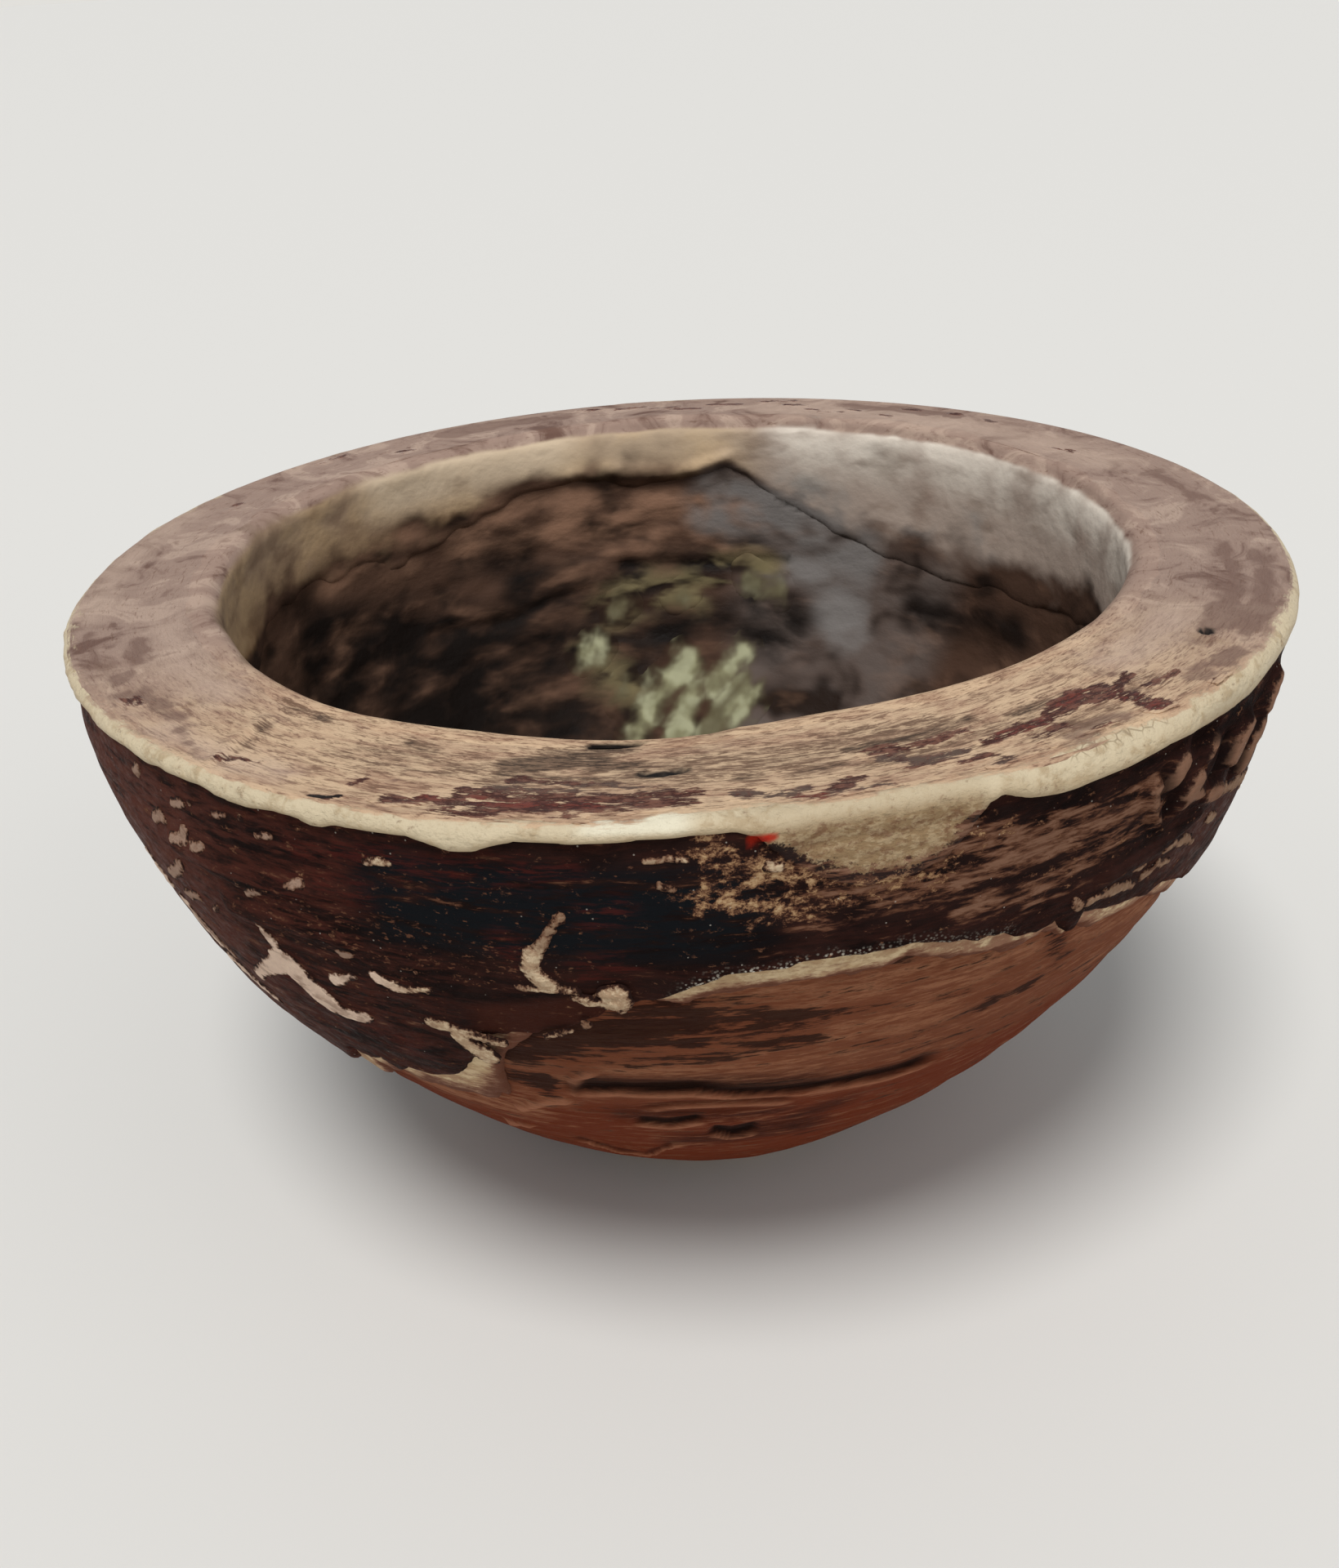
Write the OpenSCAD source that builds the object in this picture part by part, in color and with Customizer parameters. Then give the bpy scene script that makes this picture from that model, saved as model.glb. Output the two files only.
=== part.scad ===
// Thick-walled coconut shell bowl with a worn, layered finish.
// The wall stands on a flat foot. A fibre layer, a pale ground coat and a dark skin
// lie over its outside, a dark lining and a pale coat lie inside its mouth.
// Origin: centre of the foot on the table. +Z is up, -Y is the front.
// Angles round the bowl are in degrees from the front, positive towards +X.

/* [Bowl] */
// Height from the table to the flat top of the rim
bowl_h = 71; // [62:1:85]
// Radius of the dark skin where the outside stands upright, under the lip
belly_r = 64.3; // [60:0.1:75]
// Radius of the flat foot
foot_r = 17.5; // [14:0.5:26]
// Height of bare wall between the table and the outer layers
foot_bare = 3; // [2.5:0.1:6]

/* [Mouth] */
// Width of the rim from the lip's outer edge to the mouth, with the mouth on the axis
rim_w = 15.5; // [12:0.5:22]
// Depth of the cavity below the rim, to the face of the coat
cavity_depth = 55; // [40:1:60]
// Rounding of the mouth's edge
mouth_round = 2; // [1:0.1:3]
// How far the mouth sits off the bowl's axis to the side
mouth_shift_x = -0.6; // [-3:0.1:3]
// How far the mouth sits off the bowl's axis to the back
mouth_shift_y = 2.5; // [-3:0.1:4]

/* [Outer layers] */
// Thickness of the red-brown fibre layer on the wall
fibre_t = 0.8; // [0.5:0.1:1.5]
// Thickness of the pale ground coat on the fibre layer
ground_t = 0.5; // [0.3:0.1:1]
// Thickness of the dark skin on the ground coat
skin_t = 0.7; // [0.4:0.1:1.2]
// How far below the lip the tear in the dark skin climbs
tear_drop = 11.5; // [8:0.5:16]
// Height at which the plane that the tear lies on crosses the bowl's axis
tear_low = 14; // [8:0.5:18]
// Angle round the bowl at which the tear climbs highest
tear_dir = 20; // [-20:1:40]
// Width of ground coat left showing below the torn skin
tear_strip = 1.6; // [0.8:0.1:3]
// How far the pale scabs stand proud of the dark skin
scab_proud = 0.4; // [0.2:0.1:0.8]
// Gap between an inlaid piece and the edge of its opening
edge_gap = 0.1; // [0.05:0.05:0.3]

/* [Rim] */
// Height of the cream lip round the rim's outer edge
lip_h = 3; // [2.4:0.1:5]
// Width of the lip across the rim
lip_w = 3.5; // [2.8:0.1:5]
// How far the lip overhangs the dark skin
lip_proud = 0.7; // [0.3:0.1:1.5]
// Rounding of the lip's outer edges
lip_round = 1.1; // [0.5:0.1:1.2]
// Thickness of the dark red flakes let into the rim
flake_t = 0.5; // [0.3:0.1:1]

/* [Marks] */
// Length of one unit in the lists of scabs, flakes and residue
mark_unit = 1; // [0.8:0.05:1.2]

/* [Inner layers] */
// Thickness of the dark lining on the cavity's wall
lining_t = 0.6; // [0.4:0.1:1.2]
// Thickness of the pale coat on the lining, at the mouth
coat_t = 0.8; // [0.4:0.1:1.4]
// How far below the rim the coat ends, measured at the mouth's axis
coat_drop = 9.5; // [6:0.5:14]
// Slope of the coat's lower edge, lower towards +X
coat_tilt = 4; // [0:0.5:6]
// Thickness of the pale residue on the lining
residue_t = 0.6; // [0.3:0.1:1]

/* [Hidden] */
$fn = 96;

// Levels and radii that follow from the sizes above
skin_top = bowl_h - lip_h;
layers_t = fibre_t + ground_t + skin_t;
wall_r = belly_r - layers_t;
lip_r = belly_r + lip_proud;
lip_in_r = lip_r - lip_w;
mouth_r = lip_r - rim_w;
tear_tilt = atan2(skin_top - tear_drop - tear_low, belly_r);
reach = 4 * belly_r;

// Steps up the outside, counted from the layers' lower edge, and steps down the cavity
side_steps = 24;
foot_steps = 3;
round_steps = 5;
bowl_steps = 20;

// Breaks in the dark skin that hold a raised scab:
// angle, drop below the lip, length, height, turn
SCABS = [
    [-6, 14, 2.8, 3.4, 0],
    [-10, 16.2, 6.5, 1.2, -12],
    [-24, 14, 4.6, 1.6, 0],
    [-30, 15.5, 3.2, 1.2, 45],
    [-36.5, 17, 9.5, 2, 100],
    [-24, 2.2, 2.4, 0.9, 0],
    [-46, 6, 3.4, 1.6, 60],
    [-49, 12, 4.2, 1.6, 75],
    [-44, 21, 4.6, 1.8, 120],
    [-72, 38, 8, 3.6, 20],
    [-86, 52, 6, 2.4, 35],
    [62, 15, 8, 2.2, -40],
    [78, 27, 7, 2, -50],
    [128, 24, 7, 2, 15],
    [176, 34, 9, 2.6, -20],
    [-138, 18, 6, 2, 30]
];

// The open ring of lifted skin above the round scab: angle, drop, radius, stroke
CURL = [-9, 8.6, 3.8, 1.1];

// Flakes let into the rim: angle, length, distance in from the lip, width
FLAKES = [
    [-12, 18, 1.2, 2],
    [-9, 11, 4, 1.4],
    [5.5, 6, 0.9, 1.5],
    [-8.5, 9, 6.4, 2.4],
    [17.5, 7.5, 3.6, 1.4],
    [30.5, 14, 3, 2],
    [37.5, 4.5, 0.8, 1.3],
    [-30, 3, 0.5, 0.8],
    [-42, 7, 6.8, 0.9],
    [56, 2.4, 3, 1.2]
];

// Patches of residue on the cavity's wall: angle, drop below the rim, length, height, turn
RESIDUE = [
    [178, 33, 11, 5.5, 55],
    [168, 31, 9, 3.5, 60],
    [-168, 27, 4.5, 3, 40]
];

// Slope of the wall's outside: how fast its radius grows with height
function side_slope(z) = 2 * (wall_r - foot_r) / skin_top * (1 - z / skin_top);

// Radius of the wall's outside at a height
function side_r(z) = wall_r - (wall_r - foot_r) * pow(1 - z / skin_top, 2);

// Height of a step up the outside
function side_z(step) = foot_bare + (skin_top - foot_bare) * step / side_steps;

// Point on the outside at a step, a distance out along the wall's normal
function side_point(step, out) =
    let (z = side_z(step), slope = side_slope(z), unit = sqrt(1 + slope * slope))
    [side_r(z) + out / unit, z - out * slope / unit];

// Points up the outside from one step to the last
function side_points(first, out) = [for (step = [first : side_steps]) side_point(step, out)];

// Point on the rounded edge of the mouth, a distance into the wall
function edge_point(step, into) =
    let (turn = 90 * (1 - step / round_steps), arm = mouth_round - into)
    [mouth_r + mouth_round - arm * cos(turn), bowl_h - mouth_round + arm * sin(turn)];

// Point on the cavity's bowl, a distance into the wall
function bowl_point(step, into) =
    let (turn = 90 * step / bowl_steps, deep = cavity_depth - mouth_round,
         nr = cos(turn) / mouth_r, nz = sin(turn) / deep, unit = sqrt(nr * nr + nz * nz))
    [step == bowl_steps ? 0 : mouth_r * cos(turn) + into * nr / unit,
     bowl_h - mouth_round - deep * sin(turn) - into * nz / unit];

// Points from the rim down the cavity to its lowest point, a distance into the wall
function cavity_points(into) = concat(
    [for (step = [0 : round_steps - 1]) edge_point(step, into)],
    [for (step = [0 : bowl_steps]) bowl_point(step, into)]);

// The same points in the other order
function backwards(points) = [for (i = [len(points) - 1 : -1 : 0]) points[i]];

// A layer over the outside between two distances from the wall
module side_layer(near, far) {
    rotate_extrude()
        polygon(concat(side_points(0, near), backwards(side_points(0, far))));
}

// A layer in the cavity between two distances into the wall
module cavity_layer(near, far) {
    translate([mouth_shift_x, mouth_shift_y, 0])
        rotate_extrude()
            polygon(concat(cavity_points(near), backwards(cavity_points(far))));
}

// Everything above the tear, or above a line a drop below it
module above_tear(drop) {
    rotate([0, 0, tear_dir])
        translate([0, -belly_r, skin_top - tear_drop - drop])
            rotate([-tear_tilt, 0, 0])
                translate([-reach / 2, -reach / 2, 0])
                    cube(reach);
}

// Everything above the lower edge of the mouth coat
module above_coat_edge() {
    translate([mouth_shift_x, mouth_shift_y, bowl_h - coat_drop])
        rotate([0, coat_tilt, 0])
            translate([-reach / 2, -reach / 2, 0])
                cube(reach);
}

// A flat shape carried outwards from the axis, level, at an angle and a height
module outwards(angle, z) {
    rotate([0, 0, angle])
        translate([0, 0, z])
            rotate([90, 0, 0])
                linear_extrude(reach)
                    children();
}

// A bar with round ends, drawn in by a margin
module bar(length, height, margin) {
    long = max(length, height) - 2 * margin;
    thick = min(length, height) - 2 * margin;
    rotate(length < height ? 90 : 0) {
        square([long - thick, thick], center = true);
        for (side = [-1, 1])
            translate([side * (long - thick) / 2, 0])
                circle(d = thick);
    }
}

// An open half ring with round ends, drawn in by a margin
module half_ring(radius, stroke, margin) {
    thick = stroke - 2 * margin;
    difference() {
        circle(radius + thick / 2);
        circle(radius - thick / 2);
        translate([0, -2 * radius])
            square(4 * radius);
    }
    for (side = [-1, 1])
        translate([0, side * radius])
            circle(d = thick);
}

// All the breaks in the dark skin, drawn in by a margin
module breaks(margin) {
    for (scab = SCABS)
        outwards(scab[0], skin_top - scab[1] * mark_unit)
            rotate(scab[4])
                bar(scab[2] * mark_unit, scab[3] * mark_unit, margin);
    outwards(CURL[0], skin_top - CURL[1] * mark_unit)
        half_ring(CURL[2] * mark_unit, CURL[3] * mark_unit, margin);
}

// All the flakes' flat plates, grown by a margin, from the bottom of their pockets up
module flakes(margin, height) {
    for (flake = FLAKES)
        rotate([0, 0, flake[0]])
            translate([0, (flake[2] + flake[3] / 2) * mark_unit - lip_in_r, bowl_h - flake_t])
                linear_extrude(height)
                    bar(flake[1] * mark_unit, flake[3] * mark_unit, -margin);
}

// Thick buff wall: foot, side, rim and the cavity that its inner layers line
module shell_wall() color("tan") {
    difference() {
        rotate_extrude()
            intersection() {
                polygon(concat(
                    [[0, side_point(-foot_steps, 0)[1]]],
                    side_points(-foot_steps, 0),
                    [[lip_in_r, skin_top], [lip_in_r, bowl_h], [0, bowl_h]]));
                square([reach, bowl_h]);
            }
        translate([mouth_shift_x, mouth_shift_y, 0])
            rotate_extrude()
                polygon(concat(
                    [[0, bowl_h + lip_h], [mouth_r + mouth_round, bowl_h + lip_h]],
                    cavity_points(coat_t + lining_t)));
        flakes(edge_gap, flake_t + lip_h);
    }
}

// Red-brown fibrous layer all over the outside of the wall
module fibre_layer() color("sienna")
    side_layer(0, fibre_t);

// Pale coat on the fibre layer, showing as a strip below the torn skin
module ground_coat() color("wheat")
    intersection() {
        side_layer(fibre_t, fibre_t + ground_t);
        above_tear(tear_strip);
    }

// Dark skin over the ground coat, torn away low on the front and broken by scabs
module dark_skin() color([0.2, 0.13, 0.12])
    difference() {
        intersection() {
            side_layer(fibre_t + ground_t, layers_t);
            above_tear(0);
        }
        breaks(0);
    }

// Pale scabs on the ground coat, standing in the breaks of the dark skin
module pale_scabs() color("antiquewhite")
    intersection() {
        side_layer(fibre_t + ground_t, layers_t + scab_proud);
        above_tear(0);
        breaks(edge_gap);
    }

// Cream lip round the rim's outer edge, overhanging the dark skin
module rim_lip() color("cornsilk")
    rotate_extrude() {
        translate([lip_in_r, skin_top])
            square([lip_w - lip_round, lip_h]);
        translate([lip_in_r, skin_top + lip_round])
            square([lip_w, lip_h - 2 * lip_round]);
        for (z = [skin_top + lip_round, bowl_h - lip_round])
            translate([lip_r - lip_round, z])
                circle(lip_round);
    }

// Dark red flakes let into the top of the rim
module rim_flakes() color([0.3, 0.13, 0.12])
    flakes(0, flake_t);

// Dark lining over the whole cavity
module inner_lining() color([0.25, 0.18, 0.15])
    cavity_layer(coat_t, coat_t + lining_t);

// Pale coat over the mouth's edge and the top of the lining
module mouth_coat() color("burlywood")
    intersection() {
        cavity_layer(0, coat_t);
        above_coat_edge();
    }

// Pale green residue on the lining, low at the back of the cavity
module inner_residue() color("palegoldenrod")
    intersection() {
        cavity_layer(coat_t - residue_t, coat_t);
        translate([mouth_shift_x, mouth_shift_y, 0])
            for (patch = RESIDUE)
                outwards(patch[0], bowl_h - patch[1] * mark_unit)
                    rotate(patch[4])
                        bar(patch[2] * mark_unit, patch[3] * mark_unit, 0);
    }

shell_wall();
fibre_layer();
ground_coat();
dark_skin();
pale_scabs();
rim_lip();
rim_flakes();
inner_lining();
mouth_coat();
inner_residue();
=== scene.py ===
"""Coconut shell bowl with worn layers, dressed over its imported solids.

The solids give every main size. Each layer of the bowl is a class that lays a grid on a turned profile,
tears it to its outline and gives it a thickness. Turns are degrees round the upright axis, with 0 at the
front, 90 at the right and 180 at the back. Levels are heights in millimetres on the sides and radii in
millimetres on the rim.
"""
import logging
import math
from dataclasses import dataclass
from enum import Enum
from typing import ClassVar

import bpy
import numpy as np
from mathutils import Matrix, Vector


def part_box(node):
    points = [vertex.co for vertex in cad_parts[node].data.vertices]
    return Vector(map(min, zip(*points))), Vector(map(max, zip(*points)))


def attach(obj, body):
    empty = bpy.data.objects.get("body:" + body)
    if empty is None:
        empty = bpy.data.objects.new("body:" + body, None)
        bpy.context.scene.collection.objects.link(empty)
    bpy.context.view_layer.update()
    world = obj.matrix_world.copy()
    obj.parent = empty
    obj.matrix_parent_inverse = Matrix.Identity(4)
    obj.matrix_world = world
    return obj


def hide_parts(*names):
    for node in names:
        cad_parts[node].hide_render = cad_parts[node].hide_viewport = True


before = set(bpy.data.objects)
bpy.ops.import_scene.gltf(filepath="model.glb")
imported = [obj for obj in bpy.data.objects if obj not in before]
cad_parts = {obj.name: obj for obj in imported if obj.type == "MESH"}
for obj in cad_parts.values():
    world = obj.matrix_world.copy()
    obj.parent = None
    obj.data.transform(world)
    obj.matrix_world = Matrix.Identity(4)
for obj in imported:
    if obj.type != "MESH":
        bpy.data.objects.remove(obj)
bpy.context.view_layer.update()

MM = 0.001
HALF_TURN = 180.0
FULL_TURN = 360.0
FAR = 9.0

Array = np.ndarray
Colour = tuple[float, float, float, float]
Columns = tuple[float, float, float]
Knots = tuple[tuple[float, float], ...]
Legs = list[tuple[Array, float]]
Marks = dict[str, Array]
Material = bpy.types.Material
Piece = bpy.types.Object
Socket = bpy.types.NodeSocket

log = logging.getLogger("bowl")


# Measures and fields

def seen(red: int, green: int, blue: int) -> Colour:
    """Turns a colour as the eye sees it, 0 to 255 a channel, into the linear colour that a shader takes."""
    share = (red / 255, green / 255, blue / 255)
    return (*(c / 12.92 if c <= 0.04045 else ((c + 0.055) / 1.055) ** 2.4 for c in share), 1.0)


def smooth(value: Array, low: float, high: float) -> Array:
    """Rises smoothly from 0 at low to 1 at high."""
    t = np.clip((value - low) / (high - low), 0, 1)
    return t * t * (3 - 2 * t)


def around(turn: Array, knots: Knots) -> Array:
    """Reads a value off a list of (turn, value) knots that closes on itself all the way round.

    Args:
        turn: Turns in degrees.
        knots: Places in degrees from -180 to 180, in order, each with its value.

    Returns:
        The value at every turn.
    """
    places, values = zip(*knots)
    wrapped = (turn + HALF_TURN) % FULL_TURN - HALF_TURN
    return np.interp(wrapped, places, values, period=FULL_TURN)


def window(turn: Array, start: float, end: float, ease: float) -> Array:
    """Gives 1 between two turns and fades to 0 over the ease on both sides.

    Args:
        turn: Turns in degrees.
        start: First turn of the full part.
        end: Last turn of the full part, past the start.
        ease: Degrees over which it fades.

    Returns:
        Values from 0 to 1.
    """
    middle = (start + end) / 2
    off = np.abs((turn - middle + HALF_TURN) % FULL_TURN - HALF_TURN)
    return 1 - smooth(off, (end - start) / 2, (end - start) / 2 + ease)


class Grain:
    """Seeded smooth noise that runs from about -1 to 1."""

    CELLS = 1024
    RING_R = 60.0

    def __init__(self, seed: int) -> None:
        """Draws the lattice for this seed."""
        draw = np.random.default_rng(seed)
        self.order = draw.permutation(self.CELLS)
        self.value = draw.uniform(-1, 1, self.CELLS)

    def at(self, *places: Array) -> Array:
        """Reads one octave of the noise.

        Args:
            places: First, second and third coordinate, in cells.

        Returns:
            Noise at each place.
        """
        cells = [np.floor(place).astype(int) for place in places]
        eased = [smooth(place - cell, 0, 1) for place, cell in zip(places, cells)]
        total = np.zeros(np.broadcast(*places).shape)
        for corner in range(8):
            index = np.zeros(total.shape, int)
            weight = np.ones(total.shape)
            for axis in range(3):
                step = corner >> axis & 1
                index = self.order[(index + cells[axis] + step) % self.CELLS]
                weight = weight * (eased[axis] if step else 1 - eased[axis])
            total += weight * self.value[index]
        return total

    def ring(self, turn: Array, along: Array, wide: float, high: float, octaves: int = 2) -> Array:
        """Reads noise on a turned surface, with no seam round it.

        Args:
            turn: Turns in degrees.
            along: Height, radius or distance along the profile in millimetres.
            wide: Size of a patch round the bowl in millimetres.
            high: Size of a patch the other way in millimetres.
            octaves: Layers of noise, each half as large and half as strong.

        Returns:
            Noise at each place.
        """
        angle = np.radians(turn)
        total = np.zeros(np.broadcast(turn, along).shape)
        for octave in range(octaves):
            fine = 2.0 ** octave
            x = fine * self.RING_R * np.cos(angle) / wide
            y = fine * self.RING_R * np.sin(angle) / wide
            total += self.at(x + 7.3 * octave, y, fine * along / high) / fine
        return total


@dataclass(frozen=True)
class Stroke:
    """A mark drawn along a path of (turn, level) places, with its half width at the start and at the end."""

    path: Knots
    width: float
    tip: float | None = None


Strokes = tuple[Stroke, ...]


def sketch(*drawn: tuple[Knots, float] | tuple[Knots, float, float]) -> Strokes:
    """Makes strokes, each from its path, its half width and, where it differs, its half width at the end."""
    return tuple(Stroke(*each) for each in drawn)


def reach(strokes: Strokes, turn: Array, level: Array, radius: Array | float) -> Array:
    """Measures how deep each place lies inside the nearest of some strokes.

    Args:
        strokes: The strokes.
        turn: Turns in degrees.
        level: Heights, or radii on the rim, in millimetres.
        radius: Radius at each place, which gives the length of a degree.

    Returns:
        Millimetres, above 0 inside a stroke and never under -FAR.
    """
    best = np.full(turn.shape, -FAR)
    degree = np.radians(np.broadcast_to(radius, turn.shape))
    for stroke in strokes:
        turns, levels = np.array(stroke.path, float).T
        middle = (turns.min() + turns.max()) / 2
        across = ((turn - middle + HALF_TURN) % FULL_TURN - HALF_TURN) * degree
        near = np.abs(across) < (turns.max() - middle) * degree + FAR
        near &= (level > levels.min() - FAR) & (level < levels.max() + FAR)
        if not near.any():
            continue
        p, q, unit = across[near], level[near], degree[near]
        found = np.full(p.shape, -FAR)
        tip = stroke.width if stroke.tip is None else stroke.tip
        count = max(len(turns) - 1, 1)
        for k in range(count):
            m = min(k + 1, len(turns) - 1)
            off, rise = p - (turns[k] - middle) * unit, q - levels[k]
            du, dv = (turns[m] - turns[k]) * unit, levels[m] - levels[k]
            t = np.clip((off * du + rise * dv) / np.maximum(du * du + dv * dv, 1e-9), 0, 1)
            half = stroke.width + (tip - stroke.width) * (k + t) / count
            found = np.maximum(found, half - np.hypot(off - t * du, rise - t * dv))
        best[near] = np.maximum(best[near], found)
    return best


def crown(depth: Array, high: Array | float, ease: Array | float) -> Array:
    """Rounds a layer's edge: 0 at its border and the full height one ease further in."""
    t = np.clip(depth / ease, 0, 1)
    return high * np.sqrt(1 - (1 - t) ** 2)


def ring_turns(half: float, fine: float, coarse: float) -> Array:
    """Spaces turns all the way round, closer together at the front.

    Args:
        half: Half the angle of the front, in degrees.
        fine: Spacing in the front.
        coarse: Spacing elsewhere.

    Returns:
        Turns from -half to one full turn later.
    """
    front = np.arange(-half, half + fine / 2, fine)
    back = np.linspace(front[-1], FULL_TURN - half, max(2, round((FULL_TURN - 2 * half) / coarse)))
    return np.concatenate([front, back[1:]])


# Profiles

class Course:
    """A profile that is turned round an axis, measured along its length.

    The profile runs so that its outer face is on its right: upwards on the outside, inwards over the rim and
    downwards in the cavity.
    """

    def __init__(self, legs: Legs) -> None:
        """Joins legs of (radius, height) points into one profile, each with the row spacing that it needs."""
        self.points = np.concatenate([points for points, _ in legs])
        steps = np.hypot(*np.diff(self.points, axis=0).T)
        self.length = np.concatenate([[0], np.cumsum(steps)])
        way = np.gradient(self.points, axis=0)
        size = np.maximum(np.hypot(way[:, 0], way[:, 1]), 1e-9)
        self.normal = np.stack([way[:, 1] / size, -way[:, 0] / size], 1)
        rows = []
        first = 0
        for points, spacing in legs:
            last = first + len(points) - 1
            start, end = self.length[first], self.length[last]
            rows.append(np.linspace(start, end, max(2, math.ceil((end - start) / spacing) + 1)))
            first = last + 1
        self.rows = np.unique(np.concatenate(rows).round(4))

    def radius(self, along: Array) -> Array:
        """Reads the radius at a distance along the profile."""
        return np.interp(along, self.length, self.points[:, 0])

    def height(self, along: Array) -> Array:
        """Reads the height at a distance along the profile."""
        return np.interp(along, self.length, self.points[:, 1])

    def place(self, turn: Array, along: Array, lift: Array, swell: Array) -> Array:
        """Finds points on the turned surface.

        Args:
            turn: Turns in degrees.
            along: Distance along the profile in millimetres.
            lift: Distance out of the face in millimetres.
            swell: Extra radius in millimetres.

        Returns:
            Points in millimetres, one row each.
        """
        normal_r = np.interp(along, self.length, self.normal[:, 0])
        normal_z = np.interp(along, self.length, self.normal[:, 1])
        radius = np.maximum(self.radius(along) + lift * normal_r + swell, 0)
        angle = np.radians(turn)
        z = self.height(along) + lift * normal_z
        return np.stack([radius * np.sin(angle), -radius * np.cos(angle), z], -1).reshape(-1, 3)


@dataclass(frozen=True)
class Bowl:
    """The bowl's main sizes in millimetres, and the profiles that its layers lie on."""

    rim_top: float
    lip_low: float
    lip_r: float
    wall_r: float
    fibre_out: float
    ground_out: float
    skin_out: float
    axis: tuple[float, float]
    mouth_out: float
    lining_low: float
    foot_r: float = 17.5
    foot_bare: float = 3.0
    mouth_round: float = 2.0
    coat_t: float = 0.8
    lining_t: float = 0.6
    under_lip: float = 0.5

    @classmethod
    def from_frame(cls) -> "Bowl":
        """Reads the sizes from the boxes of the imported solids."""
        boxes = {name: (np.array(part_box(name), float) / MM).tolist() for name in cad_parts}
        wall_r = boxes["shell_wall"][1][0]
        low, high = boxes["mouth_coat"]
        return cls(
            rim_top=boxes["shell_wall"][1][2],
            lip_low=boxes["rim_lip"][0][2],
            lip_r=boxes["rim_lip"][1][0],
            wall_r=wall_r,
            fibre_out=boxes["fibre_layer"][1][0] - wall_r,
            ground_out=boxes["ground_coat"][1][0] - wall_r,
            skin_out=boxes["dark_skin"][1][0] - wall_r,
            axis=((low[0] + high[0]) / 2, (low[1] + high[1]) / 2),
            mouth_out=(high[0] - low[0]) / 2,
            lining_low=boxes["inner_lining"][0][2],
        )

    @property
    def skin_r(self) -> float:
        """Gives the radius of the dark skin's face at its top."""
        return self.wall_r + self.skin_out

    @property
    def layer_top(self) -> float:
        """Gives the height at which the outer layers end, under the lip."""
        return self.rim_top - self.under_lip

    def side_r(self, z: Array) -> Array:
        """Gives the wall's outer radius: a parabola, then upright under the lip."""
        return self.wall_r - (self.wall_r - self.foot_r) * np.clip(1 - z / self.lip_low, 0, 1) ** 2

    def side_points(self, low: float, high: float) -> Array:
        """Gives the wall's outer profile between two heights."""
        z = np.linspace(low, high, 160)
        return np.stack([self.side_r(z), z], 1)

    def lip_points(self, low: float, inner: float, bead: float) -> Array:
        """Gives the lip's profile: up over the skin, round the bead and inwards on the rim.

        Args:
            low: Height that it starts at.
            inner: Radius that it ends at.
            bead: Radius of its rounded edge.

        Returns:
            Points of (radius, height).
        """
        face = np.linspace(low, self.rim_top - bead, 40)[:-1]
        proud = (self.lip_r - self.skin_r) * smooth(face, self.lip_low - 1.5, self.rim_top - bead)
        corner = np.radians(np.linspace(0, 90, 24))
        edge_r = self.lip_r - bead + bead * np.cos(corner)
        edge_z = self.rim_top - bead + bead * np.sin(corner)
        top = np.linspace(self.lip_r - bead, inner, 30)[1:]
        parts = ((self.skin_r + proud, face), (edge_r, edge_z), (top, np.full(top.shape, self.rim_top)))
        return np.concatenate([np.stack(part, 1) for part in parts])

    def rim_points(self, outer: float, inner: float) -> Array:
        """Gives a level profile over the rim, from outside inwards."""
        r = np.linspace(outer, inner, 60)
        return np.stack([r, np.full(r.shape, self.rim_top)], 1)

    def cavity_points(self, behind: float) -> Array:
        """Gives the cavity's profile from the mouth's edge to its pole, some way behind the coat's face."""
        mouth_r = self.mouth_out - self.mouth_round
        edge_z = self.rim_top - self.mouth_round
        deep = edge_z - self.lining_low - self.lining_t - self.coat_t
        t = np.radians(np.linspace(0, 90, 120))
        way_r, way_z = np.cos(t) / mouth_r, -np.sin(t) / deep
        size = np.hypot(way_r, way_z)
        r = mouth_r * np.cos(t) + behind * way_r / size
        return np.stack([np.maximum(r, 0), edge_z - deep * np.sin(t) + behind * way_z / size], 1)

    def mouth_points(self, outer: float) -> Array:
        """Gives the coat's profile: inwards on the rim, round the mouth's edge and down to the pole."""
        top = self.rim_points(outer, self.mouth_out)[:-1]
        corner = np.radians(np.linspace(90, 180, 16))
        edge_r = self.mouth_out + self.mouth_round * np.cos(corner)
        edge_z = self.rim_top - self.mouth_round + self.mouth_round * np.sin(corner)
        return np.concatenate([top, np.stack([edge_r, edge_z], 1), self.cavity_points(0.0)[1:]])


# Meshes

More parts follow.
